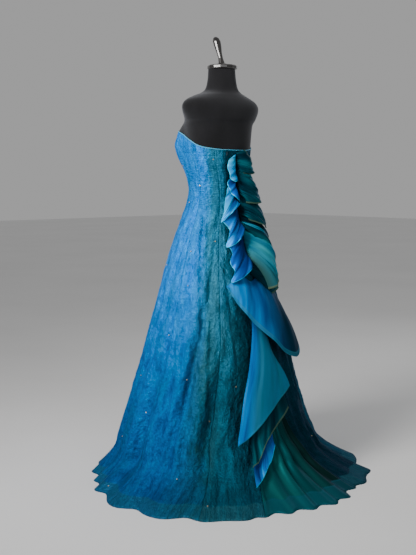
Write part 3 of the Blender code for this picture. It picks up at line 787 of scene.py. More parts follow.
PUCKERS = [Pucker(*row) for row in (
    (86, 0.722, 0.030, 8, 0.0016), (63, 0.674, 0.034, -6, 0.0016),
    (52, 0.690, 0.040, 34, 0.0022), (40, 0.622, 0.024, -8, 0.0018),
    (79, 0.305, 0.030, 28, 0.0020), (68, 0.520, 0.026, 12, 0.0014),
    (98, 0.560, 0.034, -14, 0.0016), (57, 0.330, 0.028, -22, 0.0016),
    (112, 0.690, 0.032, 10, 0.0016), (131, 0.480, 0.036, -12, 0.0016),
    (150, 0.770, 0.030, 6, 0.0016), (166, 0.380, 0.034, 18, 0.0016),
    (-172, 0.610, 0.030, -10, 0.0016), (-155, 0.420, 0.036, 14, 0.0016),
    (-140, 0.730, 0.030, -16, 0.0016), (-121, 0.350, 0.032, 20, 0.0016),
    (-104, 0.640, 0.034, -8, 0.0018), (-88, 0.460, 0.030, 24, 0.0018),
    (-70, 0.700, 0.034, -12, 0.0018), (-55, 0.310, 0.028, 10, 0.0016),
    (-40, 0.560, 0.026, 26, 0.0018), (46, 0.180, 0.030, 16, 0.0016),
)]
Crinkle = namedtuple("Crinkle", "across along depth")
SKIRT_CRINKLES = (Crinkle(0.024, 0.070, 0.0028), Crinkle(0.015, 0.026, 0.0024))
BODICE_CRINKLES = (Crinkle(0.040, 0.0095, 0.0020), Crinkle(0.018, 0.0120, 0.0012))
TIGHT_HEIGHT = 1.08  # from here up the cloth lies close to the form
TIGHT_DEPTH = 0.0008
BEND = 0.06  # over how many metres the crinkles wander
PATCH = (0.09, 0.13)  # and how large the patches are where they are deeper or shallower
PUCKER_HOLLOW, PUCKER_RIDGE, RIDGE_AWAY = 0.0035, 0.0045, 0.006


def relief(degrees, height, across, seed):
    """How far crinkles and creases move the cloth, across being metres from the gore's middle."""
    reach = smooth_table(WIDTHS, height)[0]
    pulled = bump(height - PULLED[0], PULLED[1])
    moved = np.zeros_like(height)
    layers = [(crinkle, 1 - 0.75 * pulled) for crinkle in SKIRT_CRINKLES]
    layers += [(crinkle, pulled) for crinkle in BODICE_CRINKLES]
    for k, (crinkle, share) in enumerate(layers):
        bend = 0.6 * soft_noise(across / BEND, height / BEND, seed + 40 + k)
        noise = soft_noise(across / crinkle.across + bend, height / crinkle.along + bend, seed + k)
        ridged = 1 - np.abs(2 * noise - 1) ** 0.8
        patch = 0.45 + 0.9 * soft_noise(across / PATCH[0], height / PATCH[1], seed + 20 + k)
        moved += (ridged - 0.6) * crinkle.depth * share * patch
    for trough in TROUGHS:
        share = np.clip((trough.top - height) / (trough.top - trough.bottom), -0.2, 1.2)
        centre = trough.top_angle + (trough.bottom_angle - trough.top_angle) * share
        away = np.radians(wrapped(degrees - centre)) * reach
        fade = ease(share / 0.25 + 0.3) * ease((1.1 - share) / 0.3)
        moved -= trough.depth * fade * bump(away, trough.width)
        moved += 0.6 * trough.depth * fade * bump(away - 1.8 * trough.width, trough.width)
    for pucker in PUCKERS:
        away = np.radians(wrapped(degrees - pucker.angle)) * reach
        tilt = math.radians(pucker.tilt)
        along = away * math.cos(tilt) - (height - pucker.height) * math.sin(tilt)
        beside = away * math.sin(tilt) + (height - pucker.height) * math.cos(tilt)
        moved -= pucker.depth * bump(along, pucker.reach) * bump(beside, PUCKER_HOLLOW)
        ridge = bump(beside - RIDGE_AWAY, PUCKER_RIDGE)
        moved += 0.7 * pucker.depth * bump(along, pucker.reach) * ridge
    return moved


# %% [markdown]
# ## The gores
#
# Eight gores make the gown. Each is a grid between two seams, from the neckline to the hem, with
# its relief laid on along the outward direction. Close to a seam the cloth turns in, which draws
# the fine dark line that a real seam has, and the hem is left plain so that it rests on the floor.

# %% Building the gores
GRAIN = 0.0055  # the size of a mesh cell across the skirt
SKIRT_STEP, BODICE_STEP = 0.0070, 0.0029  # and down the skirt and the bodice
CLOSER_ABOVE = 0.97
EDGE_TURN = 0.0030
EDGE_DEPTH = 0.0011
INNER_REST = 0.0004  # the shell lies this far inside its solid's outside
LOOSE, LOOSE_OVER = 0.03, 0.08  # how far the relief may go in below the tight part
SEAM_FADE, NECK_FADE, HEM_FADE = 0.010, 0.012, 0.02  # where the relief grows from nothing
FLOOR_FADE = 0.006  # below here the cloth keeps its solid's own outline


def gore(name, start, end, seed, bottom=0.0):
    """A gore between two seams, start being the one further to the gown's left."""
    middle = (start(WAIST_HEIGHT) + end(WAIST_HEIGHT)) / 2
    widest = gown_point(np.linspace(start(0.05), end(0.05), 40), 0.05, False)
    columns = int(np.linalg.norm(np.diff(widest, axis=0), axis=1).sum() / GRAIN) | 1
    levels = [float(neckline_height(middle))]
    while levels[-1] > bottom:
        levels.append(levels[-1] - (BODICE_STEP if levels[-1] > CLOSER_ABOVE else SKIRT_STEP))
    down = (levels[0] - np.array(levels)) / (levels[0] - levels[-1])
    rows, down = len(levels) - 1, down[:, None]
    share = np.linspace(0, 1, columns + 1)[None, :]
    degrees = np.full((rows + 1, columns + 1), middle, float)
    low = bottom + SEAM_GAP / 2 if bottom else 0.0
    for _ in range(3):  # the neckline's height follows the angles, and the angles the height
        high = neckline_height(degrees)
        height = high + (low - high) * down
        degrees = start(height) + (end(height) - start(height)) * share
    degrees, width = between_seams(start, end, height, share)
    points = gown_point(degrees, height)
    out = gown_outward(degrees, height)
    across = (share - 0.5) * width
    moved = relief(degrees, height, across, seed)
    loose = LOOSE * ease((TIGHT_HEIGHT - height) / LOOSE_OVER)
    moved = np.maximum(moved, -TIGHT_DEPTH - loose)
    inward = np.minimum(share, 1 - share) * width
    moved = moved * ease(inward / SEAM_FADE) - EDGE_DEPTH * bump(inward, EDGE_TURN)
    moved *= ease(height / HEM_FADE) * ease((high - height) / NECK_FADE + 0.15)
    ends = ease(height / FLOOR_FADE)
    points = points + out * ((moved - INNER_REST) * ends)[..., None]
    measures = np.stack([across + seed, height], -1)
    aspect = np.abs(wrapped(degrees - MIDDLE_OF_PAINTED_SHADE)) / 180
    return cloth_grid(name, points, measures, TAFFETA, CLOTH, aspect=aspect), points


GORES = []
for number, (side, mirrored) in enumerate((("left", False), ("right", True))):
    lines = [seam(row, mirrored) for row in (PRINCESS_FRONT, SIDE, PRINCESS_BACK)]
    lines.append(seam(BACK_RIGHT if mirrored else BACK_LEFT))
    kinds = (("side_front", "taffeta"), ("side_back", "taffeta"), ("back", "taffeta_shaded"))
    for k, (part, slot) in enumerate(kinds):
        start, end = (lines[k + 1], lines[k]) if mirrored else (lines[k], lines[k + 1])
        GORES.append((f"{part}_{side}", start, end, slot, 3 + 7 * number + 2 * k))
front_seam = seam(PRINCESS_FRONT)
GORES.append(("front_panel", lambda height: 360 - front_seam(height), front_seam, "taffeta", 31))

for name, start, end, slot, seed in GORES:
    finish_cloth(*gore("cloth_" + name, start, end, seed), "hung", ["form_torso"], slot, name)
centre_back = gore("cloth_centre_back", seam(BACK_LEFT), seam(BACK_RIGHT), 43, bottom=KNEE_HEIGHT)
finish_cloth(*centre_back, "hung", ["form_torso"], "taffeta_shaded", "centre_back")

# %% [markdown]
# ## The godet
#
# Below the knee a fan of smooth organza is let in between the back seams. It has no crinkle, only
# its pleats, which sharpen towards the hem and are a little uneven.

# %% Building the godet
GODET_GRAIN = 0.006
GODET_COLUMNS = 84
FINE_PLEATS, FINE_DEPTH = 7, 0.0022


def godet():
    rows = int(KNEE_HEIGHT / GODET_GRAIN)
    share = np.linspace(0, 1, GODET_COLUMNS + 1)[None, :]
    height = np.linspace(KNEE_HEIGHT - SEAM_GAP / 2, 0.0, rows + 1)[:, None] + 0 * share
    degrees, width = between_seams(seam(BACK_LEFT), seam(BACK_RIGHT), height, share)
    out = gown_outward(degrees, height)
    drift = 0.9 * soft_noise(share * 4, height * 5, 61)
    fine = FINE_DEPTH * np.sin(2 * np.pi * (FINE_PLEATS * share + drift))
    fine = fine * ease((KNEE_HEIGHT - height) / KNEE_HEIGHT) * ease(np.minimum(share, 1 - share) / 0.06)
    ends = ease(height / FLOOR_FADE)
    points = gown_point(degrees, height) + out * ((fine - INNER_REST) * ends)[..., None]
    measures = np.stack([(share - 0.5) * width, height], -1)
    finish, aspect = ORGANZAS["godet"], share + 0 * height
    return cloth_grid("cloth_back_godet", points, measures, finish, ORGANZA, aspect=aspect), points


finish_cloth(*godet(), "hung", ["form_torso"], "organza_shaded", "back_godet")

# %% [markdown]
# ## A point off the gown
#
# Ruffles stand off the gown, so their points are given by a height, a distance sideways from the
# centre back, and how far they stand out. Near its seam a ruffle follows the gown's own folds,
# and further down it clears their crests.

# %% Points that stand off the gown
CREST = 0.017  # how far the gown's deepest folds stand out at the hem
SETTLE = 4  # a ruffle clears the folds from a quarter of its way down
SEAM_STAND = 0.0014
TAIL_STAND = 0.0004
MOST_SIDEWAYS = 0.95  # of the gown's half width


def on_gown(across, height, stand, depth):
    half_width = smooth_table(WIDTHS, height)[0]
    degrees = np.degrees(np.arcsin(np.clip(across / half_width, -MOST_SIDEWAYS, MOST_SIDEWAYS)))
    out = gown_outward(degrees, height, False)
    crest = (CREST * fold_growth(height))[..., None]
    clear = gown_point(degrees, height, False) + out * crest
    share = ease(depth * SETTLE)[..., None]
    base = gown_point(degrees, height) * (1 - share) + clear * share
    return base + out * stand[..., None]


def bend(start, middle, end, t):
    """The place a share of the way along a curve that leans towards its middle point."""
    return [a * (1 - t) ** 2 + b * 2 * t * (1 - t) + c * t * t for a, b, c in zip(start, middle, end)]


# %% [markdown]
# ## Leaves, swag and tails
#
# Each hanging piece is drawn as a fan of lines, from where it is sewn on down to its free edge.
# A row of the table is one such line: the height, sideways place and stand of its upper end,
# the same for its hem, and how far it puffs out between them. Cloth that hangs is nearly such a
# ruled surface, so a dozen rows give a shape that would take hundreds of free points.

# %% Tables of the hanging pieces
Drape = namedtuple("Drape", "upper upper_across upper_stand hem hem_across hem_stand puff")
SWAG = [
    Drape(0.750, 0.112, 0.003, 0.737, 0.110, 0.008, 0.007),
    Drape(0.772, 0.076, 0.003, 0.687, 0.098, 0.034, 0.024),
    Drape(0.782, 0.036, 0.003, 0.640, 0.076, 0.038, 0.045),
    Drape(0.764, 0.000, SEAM_STAND, 0.596, 0.042, 0.040, 0.058),
    Drape(0.782, -0.038, 0.003, 0.542, -0.008, 0.044, 0.062),
    Drape(0.780, -0.080, 0.003, 0.484, -0.069, 0.048, 0.062),
    Drape(0.735, -0.120, 0.004, 0.462, -0.120, 0.052, 0.058),
    Drape(0.660, -0.150, 0.004, 0.490, -0.160, 0.052, 0.050),
    Drape(0.590, -0.168, 0.004, 0.560, -0.176, 0.030, 0.025),
]
UPPER_TAIL = [
    Drape(0.660, 0.022, SEAM_STAND, 0.168, 0.196, 0.034, 0.044),
    Drape(0.665, 0.000, SEAM_STAND, 0.205, 0.140, 0.032, 0.052),
    Drape(0.650, -0.022, SEAM_STAND, 0.262, 0.068, 0.032, 0.050),
    Drape(0.560, -0.026, SEAM_STAND, 0.315, -0.008, 0.032, 0.046),
    Drape(0.500, -0.028, SEAM_STAND, 0.362, -0.080, 0.030, 0.040),
]
MIDDLE_TAIL = [
    Drape(0.480, 0.020, TAIL_STAND, 0.100, 0.176, 0.018, 0.022),
    Drape(0.485, 0.007, TAIL_STAND, 0.130, 0.136, 0.018, 0.024),
    Drape(0.485, -0.007, TAIL_STAND, 0.170, 0.088, 0.018, 0.024),
    Drape(0.480, -0.018, TAIL_STAND, 0.222, 0.026, 0.018, 0.022),
    Drape(0.465, -0.026, TAIL_STAND, 0.282, -0.062, 0.017, 0.020),
]
LOWER_TAIL = [
    Drape(0.446, 0.018, TAIL_STAND, 0.050, 0.191, 0.007, 0.008),
    Drape(0.451, 0.006, TAIL_STAND, 0.074, 0.151, 0.007, 0.008),
    Drape(0.451, -0.008, TAIL_STAND, 0.108, 0.109, 0.007, 0.008),
    Drape(0.441, -0.020, TAIL_STAND, 0.162, 0.051, 0.007, 0.007),
]

# %% Building a hanging piece
DRAPE_GRAIN = 0.0042
GATHERS, GATHER_DEPTH = 9, 0.0007  # small gathers at the seam, as many to each ruling
CURL, CURL_FROM = 0.0012, 0.965  # the free edge curls out over the last of its length


def hanging(name, rulings, finish, seed, pleats=3.0, depth=0.0022, ripple=0.003, waves=2):
    """The cloth through its rulings, with fine pleats that run down from its seam."""
    stops = [(k, *ruling) for k, ruling in enumerate(rulings)]
    count = len(stops) - 1

    def surface(u, v):
        row = Drape(*smooth_table(stops, u * count))
        start = (row.upper_across, row.upper, row.upper_stand)
        end = (row.hem_across, row.hem, row.hem_stand)
        middle = ((start[0] + end[0]) / 2, (start[1] + end[1]) / 2, row.puff)
        across, height, stand = bend(start, middle, end, v)
        wave = ripple * np.cos(2 * np.pi * waves * u) * ease(v)
        drift = 0.7 * soft_noise(u * count, v * 2, seed)
        uneven = 0.35 + soft_noise(u * count * 2, v * 3, seed + 1)
        pleat = np.cos(2 * np.pi * (pleats * count * u + drift)) * uneven
        gather = GATHER_DEPTH * np.cos(2 * np.pi * GATHERS * count * u) * ease((0.25 - v) / 0.2)
        curl = CURL * ease((v - CURL_FROM) / 0.035)
        stand = stand + wave + depth * pleat * ease(v * 3) + gather * ease(v * 20) + curl
        return on_gown(across, height, stand, v)

    coarse = surface(np.linspace(0, 1, 60)[None, :], np.linspace(0, 1, 30)[:, None])
    wide, long, _ = cut_size(coarse)
    rows, columns = max(12, int(long / DRAPE_GRAIN)), max(30, int(wide / DRAPE_GRAIN * 1.4))
    u, v = np.meshgrid(np.linspace(0, 1, columns + 1), np.linspace(0, 1, rows + 1))
    points = surface(u, v)
    steps = np.linalg.norm(np.diff(points, axis=0), axis=-1)
    up = np.zeros(points.shape[:2])
    up[:-1] = np.cumsum(steps[::-1], axis=0)[::-1]
    measures = np.stack([u * wide + seed, up], -1)
    return cloth_grid(name, points, measures, finish, ORGANZA, 0.0, u), points


SEWN_ON = ["back_left", "back_right", "centre_back"]
TAILS = [
    ("cloth_lower_tail", "ruffle_tail_lower", LOWER_TAIL, "blue", 71, dict(depth=0.0006, ripple=0.002)),
    ("cloth_middle_tail", "ruffle_tail_middle", MIDDLE_TAIL, "green", 74, dict(depth=0.0009, pleats=1.5)),
    ("cloth_upper_tail", "ruffle_tail_upper", UPPER_TAIL, "grey", 77, dict(depth=0.0010, pleats=1.0)),
    ("cloth_swag", "ruffle_swag", SWAG, "hemmed", 80, dict(depth=0.0012, waves=4, pleats=0.8)),
]
for name, node, rulings, look, seed, sizes in TAILS:
    piece = hanging(name, rulings, ORGANZAS[look], seed, **sizes)
    slot = "organza_shaded" if look == "green" else "organza"
    finish_cloth(*piece, "gathered", SEWN_ON, slot, node)

# %% [markdown]
# ## The ruffle cascade
#
# Above the swag two columns of organza leaves start from one seam down the centre back, and each
# leaf laps over the next one below. The left column lies rather flat, the right one stands well
# out. The leaves of a column stand for that column's one solid.

# %% Tables of the leaves
# A leaf's row is the height of its seam and then its hem, as in a drape, and its puff
SEAM_SIDE = 0.0020  # how far beside the centre back the leaves are sewn on
LEFT_LEAVES = {
    "petal": [
        (1.243, 1.240, 0.014, 0.006, 0.012), (1.232, 1.226, 0.034, 0.012, 0.022),
        (1.216, 1.198, 0.046, 0.010, 0.030), (1.196, 1.172, 0.040, 0.020, 0.036),
        (1.178, 1.150, 0.036, 0.016, 0.036), (1.162, 1.138, 0.020, 0.030, 0.038),
        (1.150, 1.146, 0.005, 0.016, 0.022),
    ],
    "band": [
        (1.165, 1.146, 0.036, 0.006, 0.016), (1.152, 1.128, 0.042, 0.009, 0.022),
        (1.140, 1.104, 0.036, 0.016, 0.030), (1.128, 1.084, 0.030, 0.022, 0.036),
        (1.116, 1.066, 0.016, 0.034, 0.040), (1.106, 1.060, 0.004, 0.019, 0.027),
    ],
    "second": [
        (1.140, 1.116, 0.040, 0.004, 0.014), (1.122, 1.072, 0.052, 0.008, 0.024),
        (1.104, 1.020, 0.070, 0.010, 0.040), (1.090, 0.984, 0.085, 0.008, 0.050),
        (1.078, 1.004, 0.060, 0.024, 0.054), (1.066, 1.028, 0.034, 0.040, 0.054),
        (1.056, 1.050, 0.010, 0.023, 0.031),
    ],
    "third": [
        (1.060, 0.988, 0.080, 0.005, 0.020), (1.042, 0.958, 0.064, 0.016, 0.034),
        (1.024, 0.930, 0.072, 0.012, 0.042), (1.008, 0.892, 0.086, 0.010, 0.048),
        (0.994, 0.900, 0.058, 0.028, 0.052), (0.982, 0.928, 0.030, 0.042, 0.052),
        (0.972, 0.950, 0.008, 0.022, 0.030),
    ],
    "fourth": [
        (0.985, 0.904, 0.082, 0.005, 0.020), (0.962, 0.868, 0.072, 0.016, 0.032),
        (0.938, 0.834, 0.086, 0.010, 0.040), (0.914, 0.800, 0.080, 0.022, 0.046),
        (0.894, 0.762, 0.096, 0.014, 0.050), (0.876, 0.774, 0.060, 0.034, 0.056),
        (0.860, 0.802, 0.026, 0.046, 0.056), (0.848, 0.826, 0.006, 0.023, 0.031),
    ],
}
RIGHT_LEAVES = {
    "fan": [
        (1.250, 1.262, -0.034, 0.010, 0.020), (1.234, 1.240, -0.050, 0.024, 0.036),
        (1.218, 1.212, -0.052, 0.034, 0.048), (1.204, 1.184, -0.060, 0.036, 0.054),
        (1.192, 1.168, -0.042, 0.048, 0.056), (1.182, 1.170, -0.016, 0.024, 0.034),
    ],
    "puff": [
        (1.196, 1.174, -0.054, 0.026, 0.040), (1.172, 1.136, -0.062, 0.040, 0.062),
        (1.148, 1.098, -0.066, 0.052, 0.074), (1.128, 1.052, -0.068, 0.058, 0.080),
        (1.112, 1.040, -0.042, 0.066, 0.080), (1.098, 1.052, -0.016, 0.030, 0.047),
    ],
    "sail": [
        (1.124, 1.070, -0.072, 0.034, 0.052), (1.096, 1.020, -0.084, 0.042, 0.070),
        (1.070, 0.966, -0.086, 0.050, 0.082), (1.048, 0.946, -0.070, 0.058, 0.084),
        (1.030, 0.962, -0.040, 0.064, 0.080), (1.014, 0.986, -0.014, 0.028, 0.043),
    ],
    "mantle": [
        (1.044, 0.972, -0.092, 0.028, 0.052), (1.018, 0.934, -0.102, 0.036, 0.064),
        (0.996, 0.892, -0.102, 0.046, 0.074), (0.976, 0.876, -0.080, 0.056, 0.080),
        (0.960, 0.900, -0.040, 0.029, 0.049),
    ],
    "great_lobe": [
        (0.990, 0.925, -0.080, 0.044, 0.066), (0.968, 0.888, -0.098, 0.048, 0.078),
        (0.944, 0.848, -0.106, 0.050, 0.086), (0.920, 0.806, -0.098, 0.054, 0.088),
        (0.896, 0.764, -0.088, 0.056, 0.086), (0.874, 0.730, -0.080, 0.056, 0.080),
        (0.856, 0.724, -0.054, 0.026, 0.049),
    ],
    "lower_fold": [
        (0.940, 0.872, -0.108, 0.030, 0.056), (0.912, 0.824, -0.114, 0.036, 0.066),
        (0.884, 0.776, -0.104, 0.044, 0.072), (0.858, 0.734, -0.092, 0.046, 0.070),
        (0.836, 0.716, -0.062, 0.023, 0.043),
    ],
    "last": [
        (0.890, 0.838, -0.112, 0.020, 0.044), (0.864, 0.796, -0.119, 0.028, 0.054),
        (0.838, 0.756, -0.110, 0.034, 0.058), (0.812, 0.716, -0.096, 0.038, 0.056),
        (0.790, 0.702, -0.066, 0.018, 0.034),
    ],
}

# %% Building the leaves
LEAF_LOOKS = {  # of the leaves whose colour differs from the rest of their column
    "petal": "light", "band": "deep", "second": "light", "third": "blue", "fourth": "deep",
    "great_lobe": "lobe",
}
for column, side, leaves, look, seed, pleats in (
    ("left", SEAM_SIDE, LEFT_LEAVES, "blue", 90, 0.8),
    ("right", -SEAM_SIDE, RIGHT_LEAVES, "green", 110, 1.3),
):
    for k, (leaf, rows) in enumerate(leaves.items()):
        rulings = [Drape(upper, side, SEAM_STAND, *hem_and_puff) for upper, *hem_and_puff in rows]
        finish = ORGANZAS[LEAF_LOOKS.get(leaf, look)]
        piece = hanging(
            f"leaf_{column}_{leaf}", rulings, finish, seed + 3 * k, pleats, depth=0.0018,
            ripple=0.0022, waves=3,
        )
        slot = "organza" if look == "blue" else "organza_shaded"
        finish_cloth(*piece, "gathered", SEWN_ON, slot, "ruffle_" + column)

# %% [markdown]
# ## The zip placket
#
# A narrow ribbed strip covers the zip beside the back left seam. Its ribs are real relief, because
# they catch the light as fine level lines. A drawn pull ends it at the top.

# %% Building the placket
PLACKET_RIGHT, PLACKET_LEFT, PLACKET_END = 14.8, 22.0, 0.92
PLACKET_STAND = 0.0009
PLACKET_THICKNESS = 0.0009
PLACKET_WIDTH = 0.012
RIB_ROWS = 6  # rows of the mesh to each rib
RIB_PITCH = 0.0042
RIB_DEPTH = 0.0007


def placket():
    top = float(neckline_height(PLACKET_RIGHT)) - 5 * STEP
    rows = int((top - PLACKET_END) / RIB_PITCH * RIB_ROWS)
    u, v = np.meshgrid(np.linspace(0, 1, 15), np.linspace(0, 1, rows + 1))
    height = top + (PLACKET_END - top) * v
    degrees = PLACKET_LEFT + (PLACKET_RIGHT - PLACKET_LEFT) * u
    out = gown_outward(degrees, height)
    rib = RIB_DEPTH * np.cos(2 * np.pi * height / RIB_PITCH) * ease(np.minimum(u, 1 - u) / 0.15)
    points = gown_point(degrees, height) + out * (PLACKET_STAND + rib)[..., None]
    measures = np.stack([u * PLACKET_WIDTH + 7, height], -1)
    aspect = np.abs(degrees - MIDDLE_OF_PAINTED_SHADE) / 180
    made = cloth_grid("cloth_placket", points, measures, TAFFETA, PLACKET_THICKNESS, 0.0, aspect)
    return made, points


finish_cloth(*placket(), "laid", ["back_left"], "taffeta_shaded", "zip_placket")

# %% [markdown]
# ## One tree for small repeated things
#
# Stones and stitches are the same problem: a small shape set many times on the cloth, each one
# square to it. The points carry two directions, one out of the cloth and one along it. A
# Geometry Nodes tree turns a small ball to both, scales it to a length, width and height, makes
# the copies real and gives them their material. Its sizes are inputs, so one tree serves both.

# %% The tree that sets small things on cloth


def setting_tree():
    tree = bpy.data.node_groups.new("set on cloth", "GeometryNodeTree")
    tree.interface.new_socket("Points", in_out="INPUT", socket_type="NodeSocketGeometry")
    for name in ("Length", "Width", "Height", "Unevenness"):
        tree.interface.new_socket(name, in_out="INPUT", socket_type="NodeSocketFloat")
    tree.interface.new_socket("Seed", in_out="INPUT", socket_type="NodeSocketInt")
    tree.interface.new_socket("Finish", in_out="INPUT", socket_type="NodeSocketMaterial")
    tree.interface.new_socket("Set", in_out="OUTPUT", socket_type="NodeSocketGeometry")
    start, end = tree.nodes.new("NodeGroupInput"), tree.nodes.new("NodeGroupOutput")
    ball = add(tree, "GeometryNodeMeshIcoSphere", {"Radius": 0.5, "Subdivisions": 1})
    outward = add(tree, "GeometryNodeInputNamedAttribute", {"Name": "outward"}, data_type="FLOAT_VECTOR")
    along = add(tree, "GeometryNodeInputNamedAttribute", {"Name": "along"}, data_type="FLOAT_VECTOR")
    upright = add(tree, "FunctionNodeAlignRotationToVector", axis="Z")
    turned = add(tree, "FunctionNodeAlignRotationToVector", axis="X", pivot_axis="Z")
    sizes = add(tree, "ShaderNodeCombineXYZ")
    lowest = add(tree, "ShaderNodeMath", operation="SUBTRACT")
    lowest.inputs[0].default_value = 1.0
    chance = add(tree, "FunctionNodeRandomValue", data_type="FLOAT")
    floats = [socket for socket in chance.inputs if socket.type == "VALUE" and socket.enabled]
    floats[1].default_value = 1.0
    scaled = add(tree, "ShaderNodeVectorMath", operation="SCALE")
    copies = add(tree, "GeometryNodeInstanceOnPoints")
    real = add(tree, "GeometryNodeRealizeInstances")
    dressed = add(tree, "GeometryNodeSetMaterial")
    link = tree.links.new
    link(start.outputs["Points"], copies.inputs["Points"])
    link(ball.outputs["Mesh"], copies.inputs["Instance"])
    link(outward.outputs["Attribute"], upright.inputs["Vector"])
    link(upright.outputs["Rotation"], turned.inputs["Rotation"])
    link(along.outputs["Attribute"], turned.inputs["Vector"])
    link(turned.outputs["Rotation"], copies.inputs["Rotation"])
    for axis, name in zip("XYZ", ("Length", "Width", "Height")):
        link(start.outputs[name], sizes.inputs[axis])
    link(start.outputs["Unevenness"], lowest.inputs[1])
    link(lowest.outputs["Value"], floats[0])
    link(start.outputs["Seed"], chance.inputs["Seed"])
    link(sizes.outputs["Vector"], scaled.inputs[0])
    link([o for o in chance.outputs if o.enabled][0], scaled.inputs["Scale"])
    link(scaled.outputs["Vector"], copies.inputs["Scale"])
    link(copies.outputs["Instances"], real.inputs["Geometry"])
    link(real.outputs["Geometry"], dressed.inputs["Geometry"])
    link(start.outputs["Finish"], dressed.inputs["Material"])
    link(dressed.outputs["Geometry"], end.inputs["Set"])
    return tree


SETTING = setting_tree()


def set_on_cloth(name, points, outward, along, sizes, finish, seed):
    """Small balls of these sizes at these points, as one plain mesh."""
    made = plain_mesh(name, points, [], finish)
    for key, values in (("outward", outward), ("along", along)):
        layer = made.data.attributes.new(key, "FLOAT_VECTOR", "POINT")
        layer.data.foreach_set("vector", np.ravel(values).astype(np.float32))
    modifier = made.modifiers.new("setting", "NODES")
    modifier.node_group = SETTING
    values = dict(zip(("Length", "Width", "Height", "Unevenness"), sizes), Seed=seed, Finish=finish)
    for item in SETTING.interface.items_tree:
        if item.in_out == "INPUT" and item.name in values:
            modifier[item.identifier] = values[item.name]
    applied(made)
    made.data.materials.clear()
    made.data.materials.append(finish)
    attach(made, "root")
    print(f"{name}: {len(points)} set, {len(made.data.polygons)} faces")
    return made


# %% [markdown]
# ## Stones
#
# Small pale gold stones are sewn here and there over the skirt and bodice. Those that show in
# the view are placed one by one from their angle and height. The others are spread at about the same
# distance, unevenly, so that every side looks alike.

# %% Placing the stones
STONES = [
    (43, 1.222), (78, 1.124), (40, 0.917), (73, 0.880), (70, 0.755), (84, 0.572), (61, 0.418),
    (24, 0.388), (95, 0.280), (43, 0.268), (62, 0.086), (98, 0.020), (47, 0.030), (14, 0.330),
    (106, 1.060), (118, 0.820), (131, 1.200), (128, 0.610), (112, 0.400), (140, 0.330), (122, 0.150),
    (152, 0.930), (163, 0.700), (171, 0.460), (158, 0.200), (177, 1.120), (-174, 0.300), (-168, 0.840),
    (-159, 0.560), (-149, 1.180), (-146, 0.190), (-138, 0.740), (-127, 0.420), (-118, 1.010),
    (-112, 0.210), (-101, 0.640), (-94, 0.360), (-86, 1.150), (-79, 0.870), (-71, 0.240),
    (-66, 0.560), (-57, 0.980), (-50, 0.390), (-43, 0.720), (-33, 0.150), (-29, 0.510), (-25, 1.190),
]
STONE_SIZES = (0.0062, 0.0062, 0.0034, 0.30)  # length, width, height and unevenness
STONE_STAND = 0.0012
STONE = plain_finish(
    "pale gold stone", (320, 2),
    [(0.38, (0.30, 0.17, 0.05)), (0.52, (0.72, 0.52, 0.24)), (0.66, (0.90, 0.86, 0.74))],
    Roughness=0.12, IOR=1.6, Metallic=0.35, Coat_Weight=0.8, Coat_Roughness=0.05,
)

angles, heights = (np.array(column, float) for column in zip(*STONES))
out = gown_outward(angles, heights)
places = gown_point(angles, heights) + out * STONE_STAND
level = level_direction(angles + 90)
made = set_on_cloth("stones", places, out, level, STONE_SIZES, STONE, 5)
made.data.set_sharp_from_angle(angle=math.radians(20))

# %% [markdown]
# ## Stitches and the neckline's edge
#
# A row of small stitches holds the turned hem, another lies just under the neckline, and two run
# down the placket. The neckline itself is bound with a narrow pale cord, which is the light line
# along the top of the bodice. The cord is a ring of rings round the neckline's own curve.

# %% Stitches
STITCH_SIZES = (0.0030, 0.0007, 0.0006, 0.15)
STITCH_PITCH = 0.0052
THREAD_STAND = 0.0004
NECK_STITCHES = 0.006  # below the neckline
ZIP_STITCHES = 1.2  # degrees in from the placket's edges
ZIP_ENDS = 0.004


def stitch_row(degrees, heights):
    """Points, outward and along directions for stitches an even pitch apart on this line."""
    line = gown_point(degrees, heights)
    run = np.concatenate([[0], np.cumsum(np.linalg.norm(np.diff(line, axis=0), axis=1))])
    at = np.arange(STITCH_PITCH / 2, run[-1], STITCH_PITCH)
    turned, level = np.interp(at, run, degrees), np.interp(at, run, heights)
    out = gown_outward(turned, level)
    points = gown_point(turned, level) + out * THREAD_STAND
    return points, out, unit(np.gradient(points, axis=0))


THREAD = plain_finish(
    "teal thread", (900, 1), [(0.3, (0.004, 0.070, 0.100)), (0.7, (0.020, 0.190, 0.270))],
    Roughness=0.6,
)
around = np.linspace(-180, 180, 721)
behind = np.linspace(27, 339, 600)  # the hem outside the godet
zip_top = float(neckline_height(PLACKET_LEFT))
down_zip = np.linspace(zip_top - ZIP_ENDS, PLACKET_END + ZIP_ENDS, 120)
rows = [
    stitch_row(around, neckline_height(around) - NECK_STITCHES),
    stitch_row(behind, HEM_BAND + 0 * behind),
    stitch_row(PLACKET_LEFT + ZIP_STITCHES + 0 * down_zip, down_zip),
    stitch_row(PLACKET_RIGHT - ZIP_STITCHES + 0 * down_zip, down_zip),
]
stitches = [np.concatenate(column) for column in zip(*rows)]
made = set_on_cloth("stitches", *stitches, STITCH_SIZES, THREAD, 9)

# %% The bound neckline
BINDING_RADIUS = 0.0016
BINDING_SIDES = 8
BINDING_STEPS = 300
BINDING = plain_finish(
    "pale blue binding", (500, 2), [(0.3, (0.020, 0.260, 0.460)), (0.7, (0.130, 0.520, 0.720))],
    relief=(0.0003, 0.5), Roughness=0.4, Specular_IOR_Level=0.3,
)


